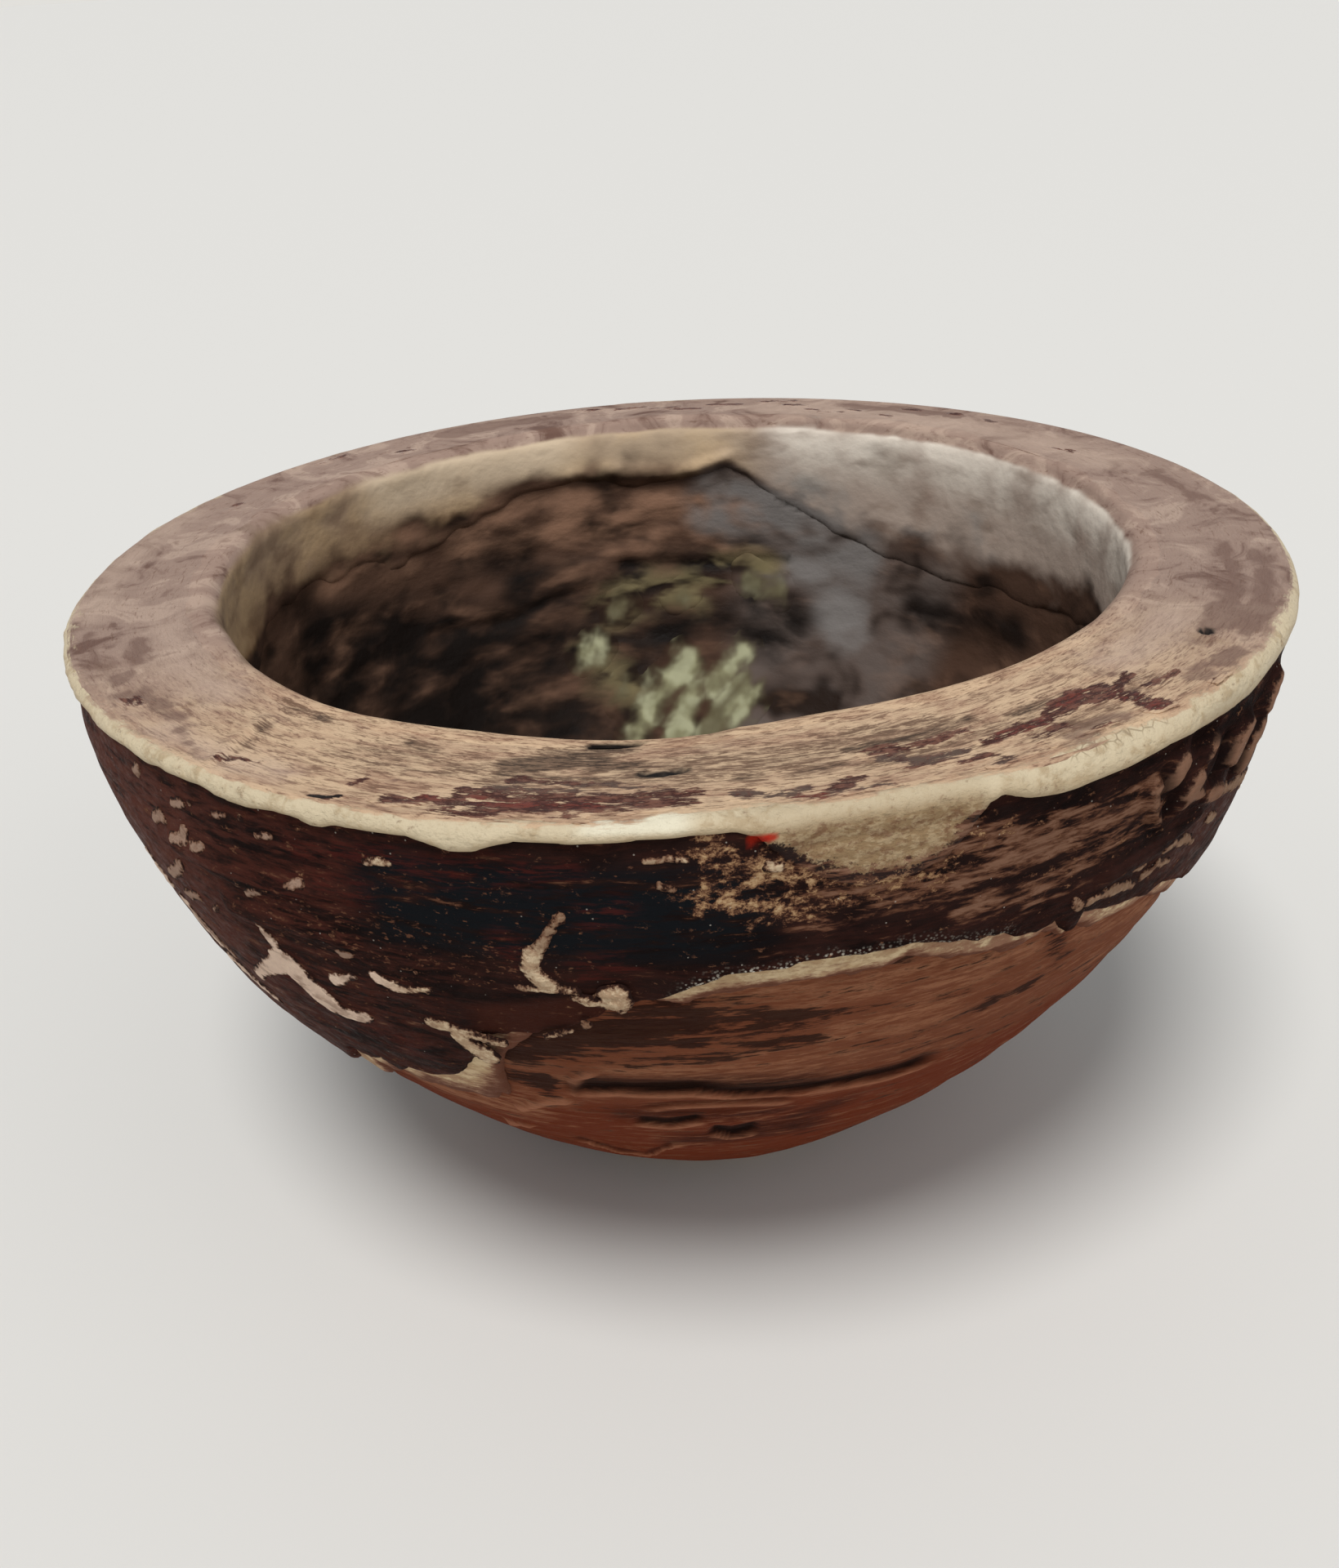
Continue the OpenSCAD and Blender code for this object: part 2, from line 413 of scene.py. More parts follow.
def torn(turn: Array, along: Array, inside: Array, ringed: bool) -> tuple[Array, Array]:
    """Moves the places just outside an outline onto it.

    Args:
        turn: Turns of the grid in degrees.
        along: Distances of the grid along its course.
        inside: Millimetres inside the outline, under 0 outside it.
        ringed: Whether the grid's last column is its first one again.

    Returns:
        The turns and distances of the moved grid.
    """
    rows, columns = inside.shape
    pad_turn = np.pad(turn, 1, mode="edge")
    pad_along = np.pad(along, 1, mode="edge")
    pad_inside = np.pad(inside, 1, constant_values=-1.0)
    if ringed:
        for padded, extra in ((pad_turn, FULL_TURN), (pad_along, 0.0), (pad_inside, 0.0)):
            padded[:, 0] = padded[:, columns - 1] - extra
            padded[:, -1] = padded[:, 2] + extra
        pad_inside[0, :] = -1.0
        pad_inside[-1, :] = -1.0
    sum_turn, sum_along, count = np.zeros((3, *inside.shape))
    for down in range(3):
        for across in range(3):
            part = (slice(down, down + rows), slice(across, across + columns))
            other = pad_inside[part]
            use = (inside < 0) & (other >= 0)
            share = np.where(use, other / np.maximum(other - inside, 1e-6), 0)
            sum_turn += np.where(use, pad_turn[part] + (turn - pad_turn[part]) * share, 0)
            sum_along += np.where(use, pad_along[part] + (along - pad_along[part]) * share, 0)
            count += use
    found = count > 0
    count = np.maximum(count, 1)
    return np.where(found, sum_turn / count, turn), np.where(found, sum_along / count, along)


@dataclass
class Spots:
    """The places of a layer's grid, each field one value a place, in degrees and millimetres."""

    turn: Array
    along: Array
    level: Array
    radius: Array
    depth: Array
    true_turn: Array
    true_radius: Array

    def inside(self, strokes: Strokes) -> Array:
        """Measures how deep each place lies inside some strokes drawn by height."""
        return reach(strokes, self.turn, self.level, self.radius)

    def on_rim(self, strokes: Strokes) -> Array:
        """Measures how deep each place lies inside some strokes drawn by radius on the rim."""
        return reach(strokes, self.true_turn, self.true_radius, self.true_radius)

    def noise(self, seed: int, wide: float, high: float) -> Array:
        """Reads noise by turn and distance along."""
        return Grain(seed).ring(self.turn, self.along, wide, high)


@dataclass
class Layer:
    """A part of the bowl that is laid on a profile as a grid.

    A kind of layer gives its profile, its outline, its lift and its marks as fields of its places, and has a
    finish. Its columns are half the angle of the front, their spacing there and their spacing elsewhere, in
    degrees, and fine is the spacing of its rows. A centred layer stands on the cavity's own axis.
    """

    bowl: Bowl
    name: str = "layer"
    node: str = "node"
    slot: str = "slot"
    columns: Columns = (66, 0.5, 1.5)
    centred: bool = False
    thickness: float | None = None
    fine: float = 0.5
    sharp: float = 60.0

    FINISH: ClassVar["Finish"]

    def __post_init__(self) -> None:
        """Lays the course."""
        self.course = Course(self.legs())

    def legs(self) -> Legs:
        """Gives the profile's legs, each with its row spacing: the side, from the bare foot to the lip."""
        return [(self.bowl.side_points(self.bowl.foot_bare, self.bowl.layer_top), self.fine)]

    def turns(self) -> Array:
        """Gives the turns of the grid's columns."""
        return ring_turns(*self.columns)

    def inside(self, at: Spots) -> Array:
        """Gives the layer's outline: everywhere inside, unless a kind of layer says otherwise."""
        return np.full(at.turn.shape, FAR)

    def lift(self, at: Spots) -> Array:
        """Gives the height of the layer's face over its course, in millimetres."""
        return np.zeros(at.turn.shape)

    def swell(self, turn: Array, along: Array) -> Array:
        """Gives the extra radius, in millimetres."""
        return np.zeros(turn.shape)

    def shift(self, along: Array) -> Array:
        """Gives the share of the way to the cavity's own axis."""
        return np.full(along.shape, float(self.centred))

    def marks(self, at: Spots) -> Marks:
        """Gives the fields that the finish reads, by name."""
        return {}

    def spots(self, turn: Array, along: Array, depth: Array) -> Spots:
        """Measures the places of a grid.

        Args:
            turn: Turns in degrees.
            along: Distance along the course.
            depth: Depth inside the outline.

        Returns:
            The measured places.
        """
        radius = self.course.radius(along)
        share = self.shift(along)
        wide = radius + self.swell(turn, along)
        x = share * self.bowl.axis[0] + wide * np.sin(np.radians(turn))
        y = share * self.bowl.axis[1] - wide * np.cos(np.radians(turn))
        true_turn = np.degrees(np.arctan2(x, -y))
        return Spots(turn, along, self.course.height(along), radius, depth, true_turn, np.hypot(x, y))

    def build(self) -> Piece:
        """Lays the grid, tears it, gives it its thickness and hands it to the frame.

        Returns:
            The finished piece.
        """
        columns = self.turns()
        turn, along = np.meshgrid(columns, self.course.rows)
        outline = self.inside(self.spots(turn, along, np.zeros(turn.shape)))
        ringed = abs(columns[-1] - columns[0] - FULL_TURN) < 1e-6
        turn, along = torn(turn, along, outline, ringed)
        at = self.spots(turn, along, np.maximum(outline, 0))
        places = self.course.place(turn, along, self.lift(at), self.swell(turn, along))
        places[:, :2] += self.shift(along).reshape(-1, 1) * np.array(self.bowl.axis)
        piece = self.wrap(places * MM, turn.shape)
        for mark, value in self.marks(at).items():
            held = piece.data.attributes.new(mark, "FLOAT", "POINT")
            held.data.foreach_set("value", np.clip(value, 0, 1).astype(np.float32).ravel())
        here = outline >= 0
        kept = here[:-1, :-1] | here[1:, :-1] | here[:-1, 1:] | here[1:, 1:]
        self.trim(piece, ~kept)
        self.thicken(piece)
        self.dress(piece)
        return piece

    def wrap(self, places: Array, shape: tuple[int, int]) -> Piece:
        """Adds a flat grid and moves its points to their places.

        Args:
            places: Points in metres, row by row.
            shape: Rows and columns of the grid.

        Returns:
            The new object.
        """
        bpy.ops.object.select_all(action="DESELECT")
        bpy.ops.mesh.primitive_grid_add(
            x_subdivisions=shape[1] - 1, y_subdivisions=shape[0] - 1, size=1, calc_uvs=False
        )
        piece = bpy.context.object
        piece.name = self.name
        piece.data.name = self.name
        piece.data.vertices.foreach_set("co", places.astype(np.float32).ravel())
        return piece

    def trim(self, piece: Piece, spare: Array) -> None:
        """Deletes the faces outside the outline and closes seams and poles.

        Args:
            piece: The wrapped grid.
            spare: Which of its faces go.
        """
        bpy.context.tool_settings.mesh_select_mode = (False, False, True)
        for parts in (piece.data.vertices, piece.data.edges):
            parts.foreach_set("select", np.zeros(len(parts), bool))
        piece.data.polygons.foreach_set("select", spare.ravel())
        bpy.ops.object.mode_set(mode="EDIT")
        if spare.any():
            bpy.ops.mesh.delete(type="FACE")
        bpy.context.tool_settings.mesh_select_mode = (True, False, False)
        bpy.ops.mesh.select_all(action="SELECT")
        bpy.ops.mesh.remove_doubles(threshold=0.004 * MM)
        bpy.ops.object.mode_set(mode="OBJECT")

    def thicken(self, piece: Piece) -> None:
        """Gives a sheet its thickness inwards and smooths its faces."""
        if self.thickness is not None:
            wall = piece.modifiers.new("thickness", "SOLIDIFY")
            wall.thickness = self.thickness * MM
            wall.offset = -1.0
            bpy.ops.object.modifier_apply(modifier=wall.name)
        bpy.ops.object.shade_smooth_by_angle(angle=math.radians(self.sharp))

    def dress(self, piece: Piece) -> None:
        """Gives the piece its finish and its place in the frame."""
        piece.data.materials.clear()
        piece.data.materials.append(self.FINISH.make())
        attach(piece, "root")
        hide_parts(self.node)
        log.info("%s: %d faces, stands for %s", piece.name, len(piece.data.polygons), self.node)


# Relief and wear that the layers share

class Relief:
    """Unevenness that pieces lying on each other share, in millimetres."""

    PITS = sketch(
        (((-3.5, 55.9), (-2, 56.1), (-0.2, 55.7)), 0.3, 0.16),
        (((-8.8, 50.6), (-7, 50.6), (-4.4, 50.3)), 0.3, 0.2), (((55.5, 58.8),), 0.5),
    )
    CREASE = sketch((((-39, 63), (-40.5, 59.2), (-42, 55.2)), 0.3))
    FOLDS = sketch(
        (((-46, 61.2), (-38, 61), (-33, 61.4), (-29, 62.3), (-24, 62.9)), 0.8, 0.3),
        (((-40, 57), (-34, 57.4), (-28, 57)), 0.7), (((34, 57.8), (40, 57.6), (46, 58.4)), 0.8, 0.5),
    )
    LUMPS = sketch(
        (((37, 64), (38, 62), (38.8, 60.8), (40, 59.4)), 0.6, 0.45), (((39.3, 64.6), (40.4, 66)), 0.95),
        (((37.2, 64.8), (37.6, 65.2)), 0.6), (((42, 62.4), (43.2, 63.4)), 1.0),
        (((41.6, 61.1), (43.2, 61.6), (45, 61.2)), 0.9), (((45.6, 60.6), (47.8, 60.2)), 0.8),
        (((44.4, 65), (45.6, 66)), 0.8), (((49, 63), (52, 65)), 1.2, 0.8),
        (((53, 60.4), (56.4, 62.6)), 1.3, 0.8), (((57, 64.6), (60, 66)), 1.1, 0.7),
    )
    HOLLOWS = sketch(
        (((40.2, 63.6), (40.4, 61.4)), 0.7), (((43, 67), (45.8, 66.6)), 0.7), (((47, 62), (48.4, 64.6)), 0.8),
        (((51.4, 60.6), (54, 64.6)), 0.8), (((38.6, 65.4), (38.8, 63.4)), 0.5),
    )

    @classmethod
    def rim(cls, turn: Array, radius: Array) -> Array:
        """Gives the rim's soft rolling, its fine ridges, a crease at the left and its pits."""
        rolling = 0.2 * Grain(21).ring(turn, radius, 16, 9) + 0.06 * Grain(22).ring(turn, radius, 5, 0.8)
        crease = 0.3 * smooth(reach(cls.CREASE, turn, radius, radius), -0.9, 0.3)
        return rolling + crease - 0.5 * smooth(reach(cls.PITS, turn, radius, radius), -0.3, 0.3)

    @classmethod
    def skin(cls, turn: Array, level: Array, radius: Array | float) -> Array:
        """Gives the skin's rolling, its folds at the left and its lumps at the right."""
        rolling = 0.26 * Grain(51).ring(turn, level, 13, 8) + 0.08 * Grain(52).ring(turn, level, 4, 1.8)
        folds = 0.5 * smooth(reach(cls.FOLDS, turn, level, radius), -0.9, 0.6)
        lumps = 0.8 * smooth(cls.lumps(turn, level, radius), -0.7, 0.6)
        hollows = 0.5 * smooth(reach(cls.HOLLOWS, turn, level, radius), -0.8, 0.5)
        beyond = 0.6 * np.abs(Grain(53).ring(turn, level + 0.2 * turn, 8, 4, 1)) * window(turn, 62, 78, 8)
        return rolling + folds + lumps - hollows + beyond

    @classmethod
    def lumps(cls, turn: Array, level: Array, radius: Array | float) -> Array:
        """Measures how far each place lies inside the lumps, whose outlines are ragged."""
        return reach(cls.LUMPS, turn, level, radius) + 0.5 * Grain(55).ring(turn, level, 1.7, 1.3) - 0.1

    @classmethod
    def lining(cls, turn: Array, level: Array) -> Array:
        """Gives the lining's scraped hollows."""
        return 0.4 * Grain(91).ring(turn, level, 13, 5) + 0.12 * Grain(92).ring(turn, level, 5, 1.3)


@dataclass(frozen=True)
class Wear:
    """The tear across the outside, which the fibre, the pale coat and the dark skin share."""

    bowl: Bowl
    slope_span: float = 1.5

    EDGE = (
        (-180, 1), (-130, 2), (-115, 5), (-100, 8), (-85, 10.5), (-75, 13.5), (-66, 17), (-55, 24),
        (-48, 28.5), (-42, 33), (-38, 37.6), (-35, 37), (-33.2, 38.2), (-31.4, 36.8), (-29.6, 38.6),
        (-27, 38.4), (-23.4, 39.8), (-21, 42.4), (-19.4, 44), (-18.4, 46.6), (-16.5, 47.4), (-12.5, 49),
        (-9, 51), (-5.5, 52.8), (-3, 53.4), (-1, 54.3), (0, 55.2), (2, 55.8), (5, 56.3), (10, 56.4),
        (12, 56.2), (15, 56.5), (16.5, 57), (18, 56.5), (20, 55.8), (22, 55.3), (24.5, 54.9), (25.5, 54.3),
        (27.5, 54), (29.5, 54.4), (30.6, 53.4), (31.4, 52.2), (32, 52.6), (32.4, 54), (34, 53.6), (36, 52.4),
        (40, 51.6), (45, 51), (52, 47.5), (58, 44), (66, 39.5), (75, 34), (85, 28.5), (95, 22), (105, 17),
        (115, 11.5), (128, 8), (140, 5), (155, 2), (170, 1),
    )
    STRIP = (
        (-180, 0.4), (-110, 0.6), (-75, 2.5), (-60, 3), (-50, 3.6), (-40, 3.2), (-33, 3.4), (-28, 4.4),
        (-23, 5), (-20, 4.4), (-17.4, 2.2), (-15, 1.4), (-13, -0.4), (-12, -0.8), (-5, -0.8), (-3.5, 0.2),
        (-2, 1.2), (0, 2), (4, 2.4), (10, 2.5), (15, 2.5), (19, 2.5), (24, 2.6), (29, 2.2), (31, 0.8),
        (32.4, 2.4), (36, 2.5), (41, 2.3), (46, 2.2), (60, 2.2), (80, 2), (110, 1.5), (150, 0.4),
    )

    def above(self, turn: Array, level: Array) -> Array:
        """Measures how far each place lies above the tear, square to it.

        Args:
            turn: Turns in degrees.
            level: Heights in millimetres.

        Returns:
            Millimetres, under 0 where the skin is gone.
        """
        edge = around(turn, self.EDGE)
        rise = around(turn + self.slope_span, self.EDGE) - around(turn - self.slope_span, self.EDGE)
        run = np.radians(2 * self.slope_span) * self.bowl.side_r(edge)
        return (level - edge) / np.sqrt(1 + (rise / run) ** 2)

    @staticmethod
    def ragged(turn: Array, level: Array) -> Array:
        """Gives the raggedness of a torn edge in millimetres."""
        return 0.45 * Grain(11).ring(turn, level, 4.5, 2.2) + 0.28 * Grain(12).ring(turn, level, 1.3, 0.9)


# Finishes

class Recipe:
    """Makes one material node by node, with places in millimetres.

    A number or a share may be a plain one, a socket, or the name of one of the piece's own marks.
    """

    def __init__(self, name: str) -> None:
        """Starts a material with a plain shader and an output."""
        self.material = bpy.data.materials.new(name)
        self.material.use_nodes = True
        self.tree = self.material.node_tree
        self.tree.nodes.clear()
        self.shader = self.add("BsdfPrincipled", {})
        self.add("OutputMaterial", {"Surface": self.shader.outputs[0]})
        self.spot = self.add("TexCoord", {}).outputs["Object"]

    def add(self, kind: str, inputs: dict[str | int, object], **settings: str) -> bpy.types.Node:
        """Adds a node.

        Args:
            kind: Its kind.
            inputs: What its sockets take, by name or number.
            settings: Its own settings.

        Returns:
            The node.
        """
        node = self.tree.nodes.new("ShaderNode" + kind)
        for name, value in settings.items():
            setattr(node, name, value)
        for socket, value in inputs.items():
            self.put(node.inputs[socket], value)
        return node

    def put(self, socket: Socket, value: object) -> None:
        """Links a socket to another one or to a mark, or sets its plain value."""
        if isinstance(value, str):
            value = self.add("Attribute", {}, attribute_name=value).outputs["Fac"]
        if isinstance(value, Socket):
            self.tree.links.new(value, socket)
        else:
            socket.default_value = value

    def times(self, first: object, *others: object) -> object:
        """Multiplies some numbers."""
        for other in others:
            first = self.add("Math", {0: first, 1: other}, operation="MULTIPLY").outputs[0]
        return first

    def plus(self, first: object, second: object) -> Socket:
        """Adds two numbers."""
        return self.add("Math", {0: first, 1: second}, operation="ADD").outputs[0]

    def level(self, wide: float, high: float, slant: float = 0.0) -> Socket:
        """Gives places in cells that are wide across the bowl and high upwards.

        Args:
            wide: Size of a cell across, in millimetres.
            high: Size of a cell upwards, in millimetres.
            slant: Lean of the upward way to the right, in radians.

        Returns:
            The places as a vector.
        """
        scale = (wide * MM, wide * MM, high * MM)
        inputs = {"Vector": self.spot, "Rotation": (0.0, slant, 0.0), "Scale": scale}
        return self.add("Mapping", inputs, vector_type="TEXTURE").outputs[0]

    def vector(self, how: str, first: Socket, second: object = (0.0, 0.0, 0.0)) -> bpy.types.Node:
        """Adds a calculation with two vectors and gives its node."""
        return self.add("VectorMath", {0: first, 1: second}, operation=how)

    def polar(self, long: float, wide: float) -> Socket:
        """Gives places in cells that are long round the axis and wide outwards, in millimetres.

        Args:
            long: Size of a cell round the axis.
            wide: Size of a cell outwards.

        Returns:
            The places as a vector.
        """
        flat = self.vector("MULTIPLY", self.spot, (1.0, 1.0, 0.0)).outputs[0]
        size = self.vector("LENGTH", flat).outputs["Value"]
        unit = self.vector("NORMALIZE", flat).outputs[0]
        ring = self.vector("MULTIPLY", unit, (Grain.RING_R / long,) * 3).outputs[0]
        out = self.add("CombineXYZ", {"Z": self.times(size, 1 / (wide * MM))}).outputs[0]
        return self.vector("ADD", ring, out).outputs[0]

    def noise(self, place: Socket, detail: float = 3.0, twist: float = 0.0, rough: float = 0.6) -> Socket:
        """Adds noise from 0 to 1, with its octaves, how far it bends itself and how much an octave keeps."""
        inputs = {"Vector": place, "Scale": 1.0, "Detail": detail, "Roughness": rough, "Distortion": twist}
        return self.add("TexNoise", inputs).outputs["Fac"]

    def grit(self, wide: float, high: float, ringed: bool = False, twist: float = 0.4) -> Socket:
        """Gives coarse and fine noise together, for specks of many sizes.

        Args:
            wide: Size of a coarse patch along the grain, in millimetres.
            high: Size of a coarse patch across the grain, in millimetres.
            ringed: Whether the grain runs round the axis on the rim, and not level on the sides.
            twist: How far the coarse noise bends itself.

        Returns:
            Noise from 0 to 1.
        """
        place = self.polar if ringed else self.level
        coarse = self.noise(place(wide, high), 4, twist)
        fine = self.noise(place(wide / 4, high / 3), 5, twist / 2, 0.65)
        return self.times(self.plus(coarse, fine), 0.5)

    def cells(self, place: Socket, edge: bool = False) -> Socket:
        """Adds scattered cells and gives the distance to their centres, or to their edges."""
        feature = "DISTANCE_TO_EDGE" if edge else "F1"
        return self.add("TexVoronoi", {"Vector": place, "Scale": 1.0}, feature=feature).outputs["Distance"]

    def step(self, value: object, low: float, high: float) -> Socket:
        """Rises smoothly from 0 at low to 1 at high, or falls where low is above high.

        Args:
            value: The number to read.
            low: Where the result is 0.
            high: Where the result is 1.

        Returns:
            The result.
        """
        start, end = (0.0, 1.0) if low < high else (1.0, 0.0)
        inputs = {"Value": value, "From Min": min(low, high), "From Max": max(low, high)}
        inputs.update({"To Min": start, "To Max": end})
        return self.add("MapRange", inputs, interpolation_type="SMOOTHSTEP").outputs["Result"]

    def speckle(self, share: object, noise: Socket, spread: float = 7.0, soft: float = 0.15) -> Socket:
        """Breaks a soft share up into specks: nothing at 0, half covered at one half and full at 1.

        Args:
            share: How much is covered, from 0 to 1.
            noise: The noise that gives the specks their shape.
            spread: How far the specks reach into the clear and the full parts.
            soft: Softness of a speck's edge.

        Returns:
            The cover.
        """
        lean = self.plus(self.times(share, 1.7), -0.35)
        value = self.plus(lean, self.times(self.plus(noise, -0.5), spread))
        return self.step(value, 0.5 - soft, 0.5 + soft)

    def coats(self, base: object, *coats: tuple) -> object:
        """Lays colours over a base, one after another.

        Args:
            base: The lowest colour.
            coats: Colours, each followed by the shares whose product is its cover.

        Returns:
            The colour that shows.
        """
        for over, *shares in coats:
            cover = self.times(*shares)
            base = self.add("Mix", {0: cover, 6: base, 7: over}, data_type="RGBA").outputs[2]
        return base

    def done(self, colour: object, rough: object, gloss: float, *reliefs: tuple[Socket, float]) -> Material:
        """Closes the material.

        Args:
            colour: Base colour.
            rough: Roughness, plain or varied.
            gloss: Specular level, the same all over.
            reliefs: Heights from 0 to 1, each with its depth in millimetres, from the lowest up.

        Returns:
            The finished material.
        """
        under = {}
        for height, deep in reliefs:
            bump = self.add("Bump", {"Strength": 1.0, "Distance": deep * MM, "Height": height, **under})
            under = {"Normal": bump.outputs["Normal"]}
        face = {"Base Color": colour, "Roughness": rough, "Specular IOR Level": gloss, **under}
        for name, value in face.items():
            self.put(self.shader.inputs[name], value)
        return self.material


class Finish:
    """A finish, which makes its own material."""

    def make(self) -> Material:
        """Makes the material."""
        raise NotImplementedError


@dataclass(frozen=True)
class RimTone:
    """The rubbed rim's colours: buff with fine lines round it at the front, mauve and mottled elsewhere, with
    painted shade black in its pits.
    """

    light: Colour = seen(210, 180, 147)
    buff: Colour = seen(176, 142, 116)
    brown: Colour = seen(100, 66, 51)
    mauve: Colour = seen(160, 135, 121)
    rose: Colour = seen(194, 169, 151)
    plum: Colour = seen(114, 87, 76)
    stain: Colour = seen(112, 87, 69)
    dusk: Colour = seen(56, 43, 35)
    # painted shade in the pits
    pit_shade: Colour = seen(20, 15, 13)

    STAINS = sketch(
        (((-14.6, 54.6), (-11, 53.6), (-7.6, 53.2)), 1.5, 1.1),
        (((-12.6, 52.3), (-9, 51.7), (-5.6, 51.3)), 0.7), (((-8, 54.6), (-4, 54.3), (-1, 54)), 0.9, 0.5),
        (((-15.4, 56.3), (-9, 56.5), (-3, 56.7)), 0.6), (((-26, 52.8), (-23, 53.6)), 0.5),
        (((-43.6, 52), (-40, 52.2), (-37, 52)), 0.4), (((-38.4, 61.4), (-39.4, 58.6), (-40.6, 56)), 0.4),
        (((4, 57.6), (9, 57.4), (13, 57)), 0.5), (((14, 55.2), (20, 54.8), (26, 54.4)), 0.7),
        (((29, 56), (36, 56.2)), 0.7),
    )
    HAZE = sketch(
        (((0, 54.8), (10, 54.4), (22, 54)), 2.4), (((-30, 55.2), (-18, 55.4)), 1.1),
        (((-16, 57.4), (-8, 57.6), (0, 57.4)), 1.3), (((-32, 57), (-27, 57.4), (-20, 57)), 0.7),
        (((14, 58), (24, 57.6), (34, 57)), 1.2), (((28, 60.4), (36, 59.8), (44, 59)), 1.3),
    )
    BLOTCHES = sketch(
        (((-57, 60.8), (-53, 60), (-49.4, 60.3)), 0.9), (((-46, 61.2), (-42, 62.6)), 0.5),
        (((-73, 62.6), (-66, 61.8), (-60, 61)), 0.7, 0.5), (((-64, 58.6), (-69, 57)), 1.0),
        (((46, 62), (52, 62.2)), 0.9), (((31, 61.8), (36, 61.4)), 0.8), (((53, 59), (57, 58.6)), 0.9),
        (((58, 61.6), (66, 62), (78, 61.4)), 1.5, 1.0), (((60, 59.2), (70, 58.8), (80, 58.2)), 1.3),
        (((95, 60), (106, 59.6)), 1.0), (((140, 61.5), (155, 61)), 1.4), (((-150, 61), (-165, 60)), 1.5),
    )
    ROSY = sketch(
        (((-72, 54.6), (-50, 54.8)), 1.6), (((45, 54.6), (58, 55)), 1.6), (((-110, 62.4), (-78, 62.6)), 1.2),
        (((112, 57), (165, 58)), 3.0), (((-48, 62), (-33, 61.6)), 1.0),
    )

    @classmethod
    def marks(cls, turn: Array, radius: Array) -> Marks:
        """Gives the rim's stains, blotches, rosy and mauve parts and the painted shade in its pits by true
        turn and radius.
        """
        ragged = 0.5 * Grain(23).ring(turn, radius, 2.4, 0.9)
        stains = smooth(reach(cls.STAINS, turn, radius, radius) + ragged, -1.4, 1.2)
        haze = 0.56 * smooth(reach(cls.HAZE, turn, radius, radius) + ragged, -1.8, 1.2)
        return {
            "stain": np.maximum(stains, haze),
            "blotch": smooth(reach(cls.BLOTCHES, turn, radius, radius) + 1.6 * ragged, -2.0, 1.8),
            "rosy": smooth(reach(cls.ROSY, turn, radius, radius) + 2 * ragged, -2.5, 2.0),
            "mauve": np.clip(1 - window(turn, -36, 36, 34), 0, 1),
            # painted shade in the pits
            "pit_shade": smooth(reach(Relief.PITS, turn, radius, radius), -0.5, -0.1),
        }

    def paint(self, mix: Recipe) -> tuple[Socket, Socket]:
        """Gives the colour and the fine lines."""
        lines = mix.grit(4.0, 0.6, True, 1.2)
        bands = mix.noise(mix.polar(9, 2.4), 5, 1.2)
        mottle = mix.noise(mix.level(7, 7), 5, 1.0)
        front = mix.coats(
            self.buff,
            (self.light, mix.step(bands, 0.36, 0.62)),
            (self.light, mix.step(lines, 0.49, 0.4), 0.6),
            (self.brown, mix.step(lines, 0.48, 0.59), 0.65),
        )
        side = mix.coats(
            self.plum,
            (self.mauve, mix.step(mottle, 0.3, 0.48)),
            (self.rose, mix.step(mottle, 0.5, 0.66), 0.9),
            (self.brown, mix.step(lines, 0.53, 0.64), 0.35),
        )
        heavy = (mix.step("stain", 0.55, 0.9), mix.step(lines, 0.45, 0.56))
        stained = mix.coats(self.stain, (self.dusk, *heavy))
        colour = mix.coats(
            front,
            (side, "mauve"),
            (self.rose, "rosy", 0.55),
            (self.plum, mix.speckle("blotch", mottle, 5.0, 0.45), 0.72),
            (stained, mix.speckle("stain", lines, 5.0, 0.6), 0.9),
            # painted shade in the pits
            (self.pit_shade, "pit_shade"),
        )
        return colour, lines


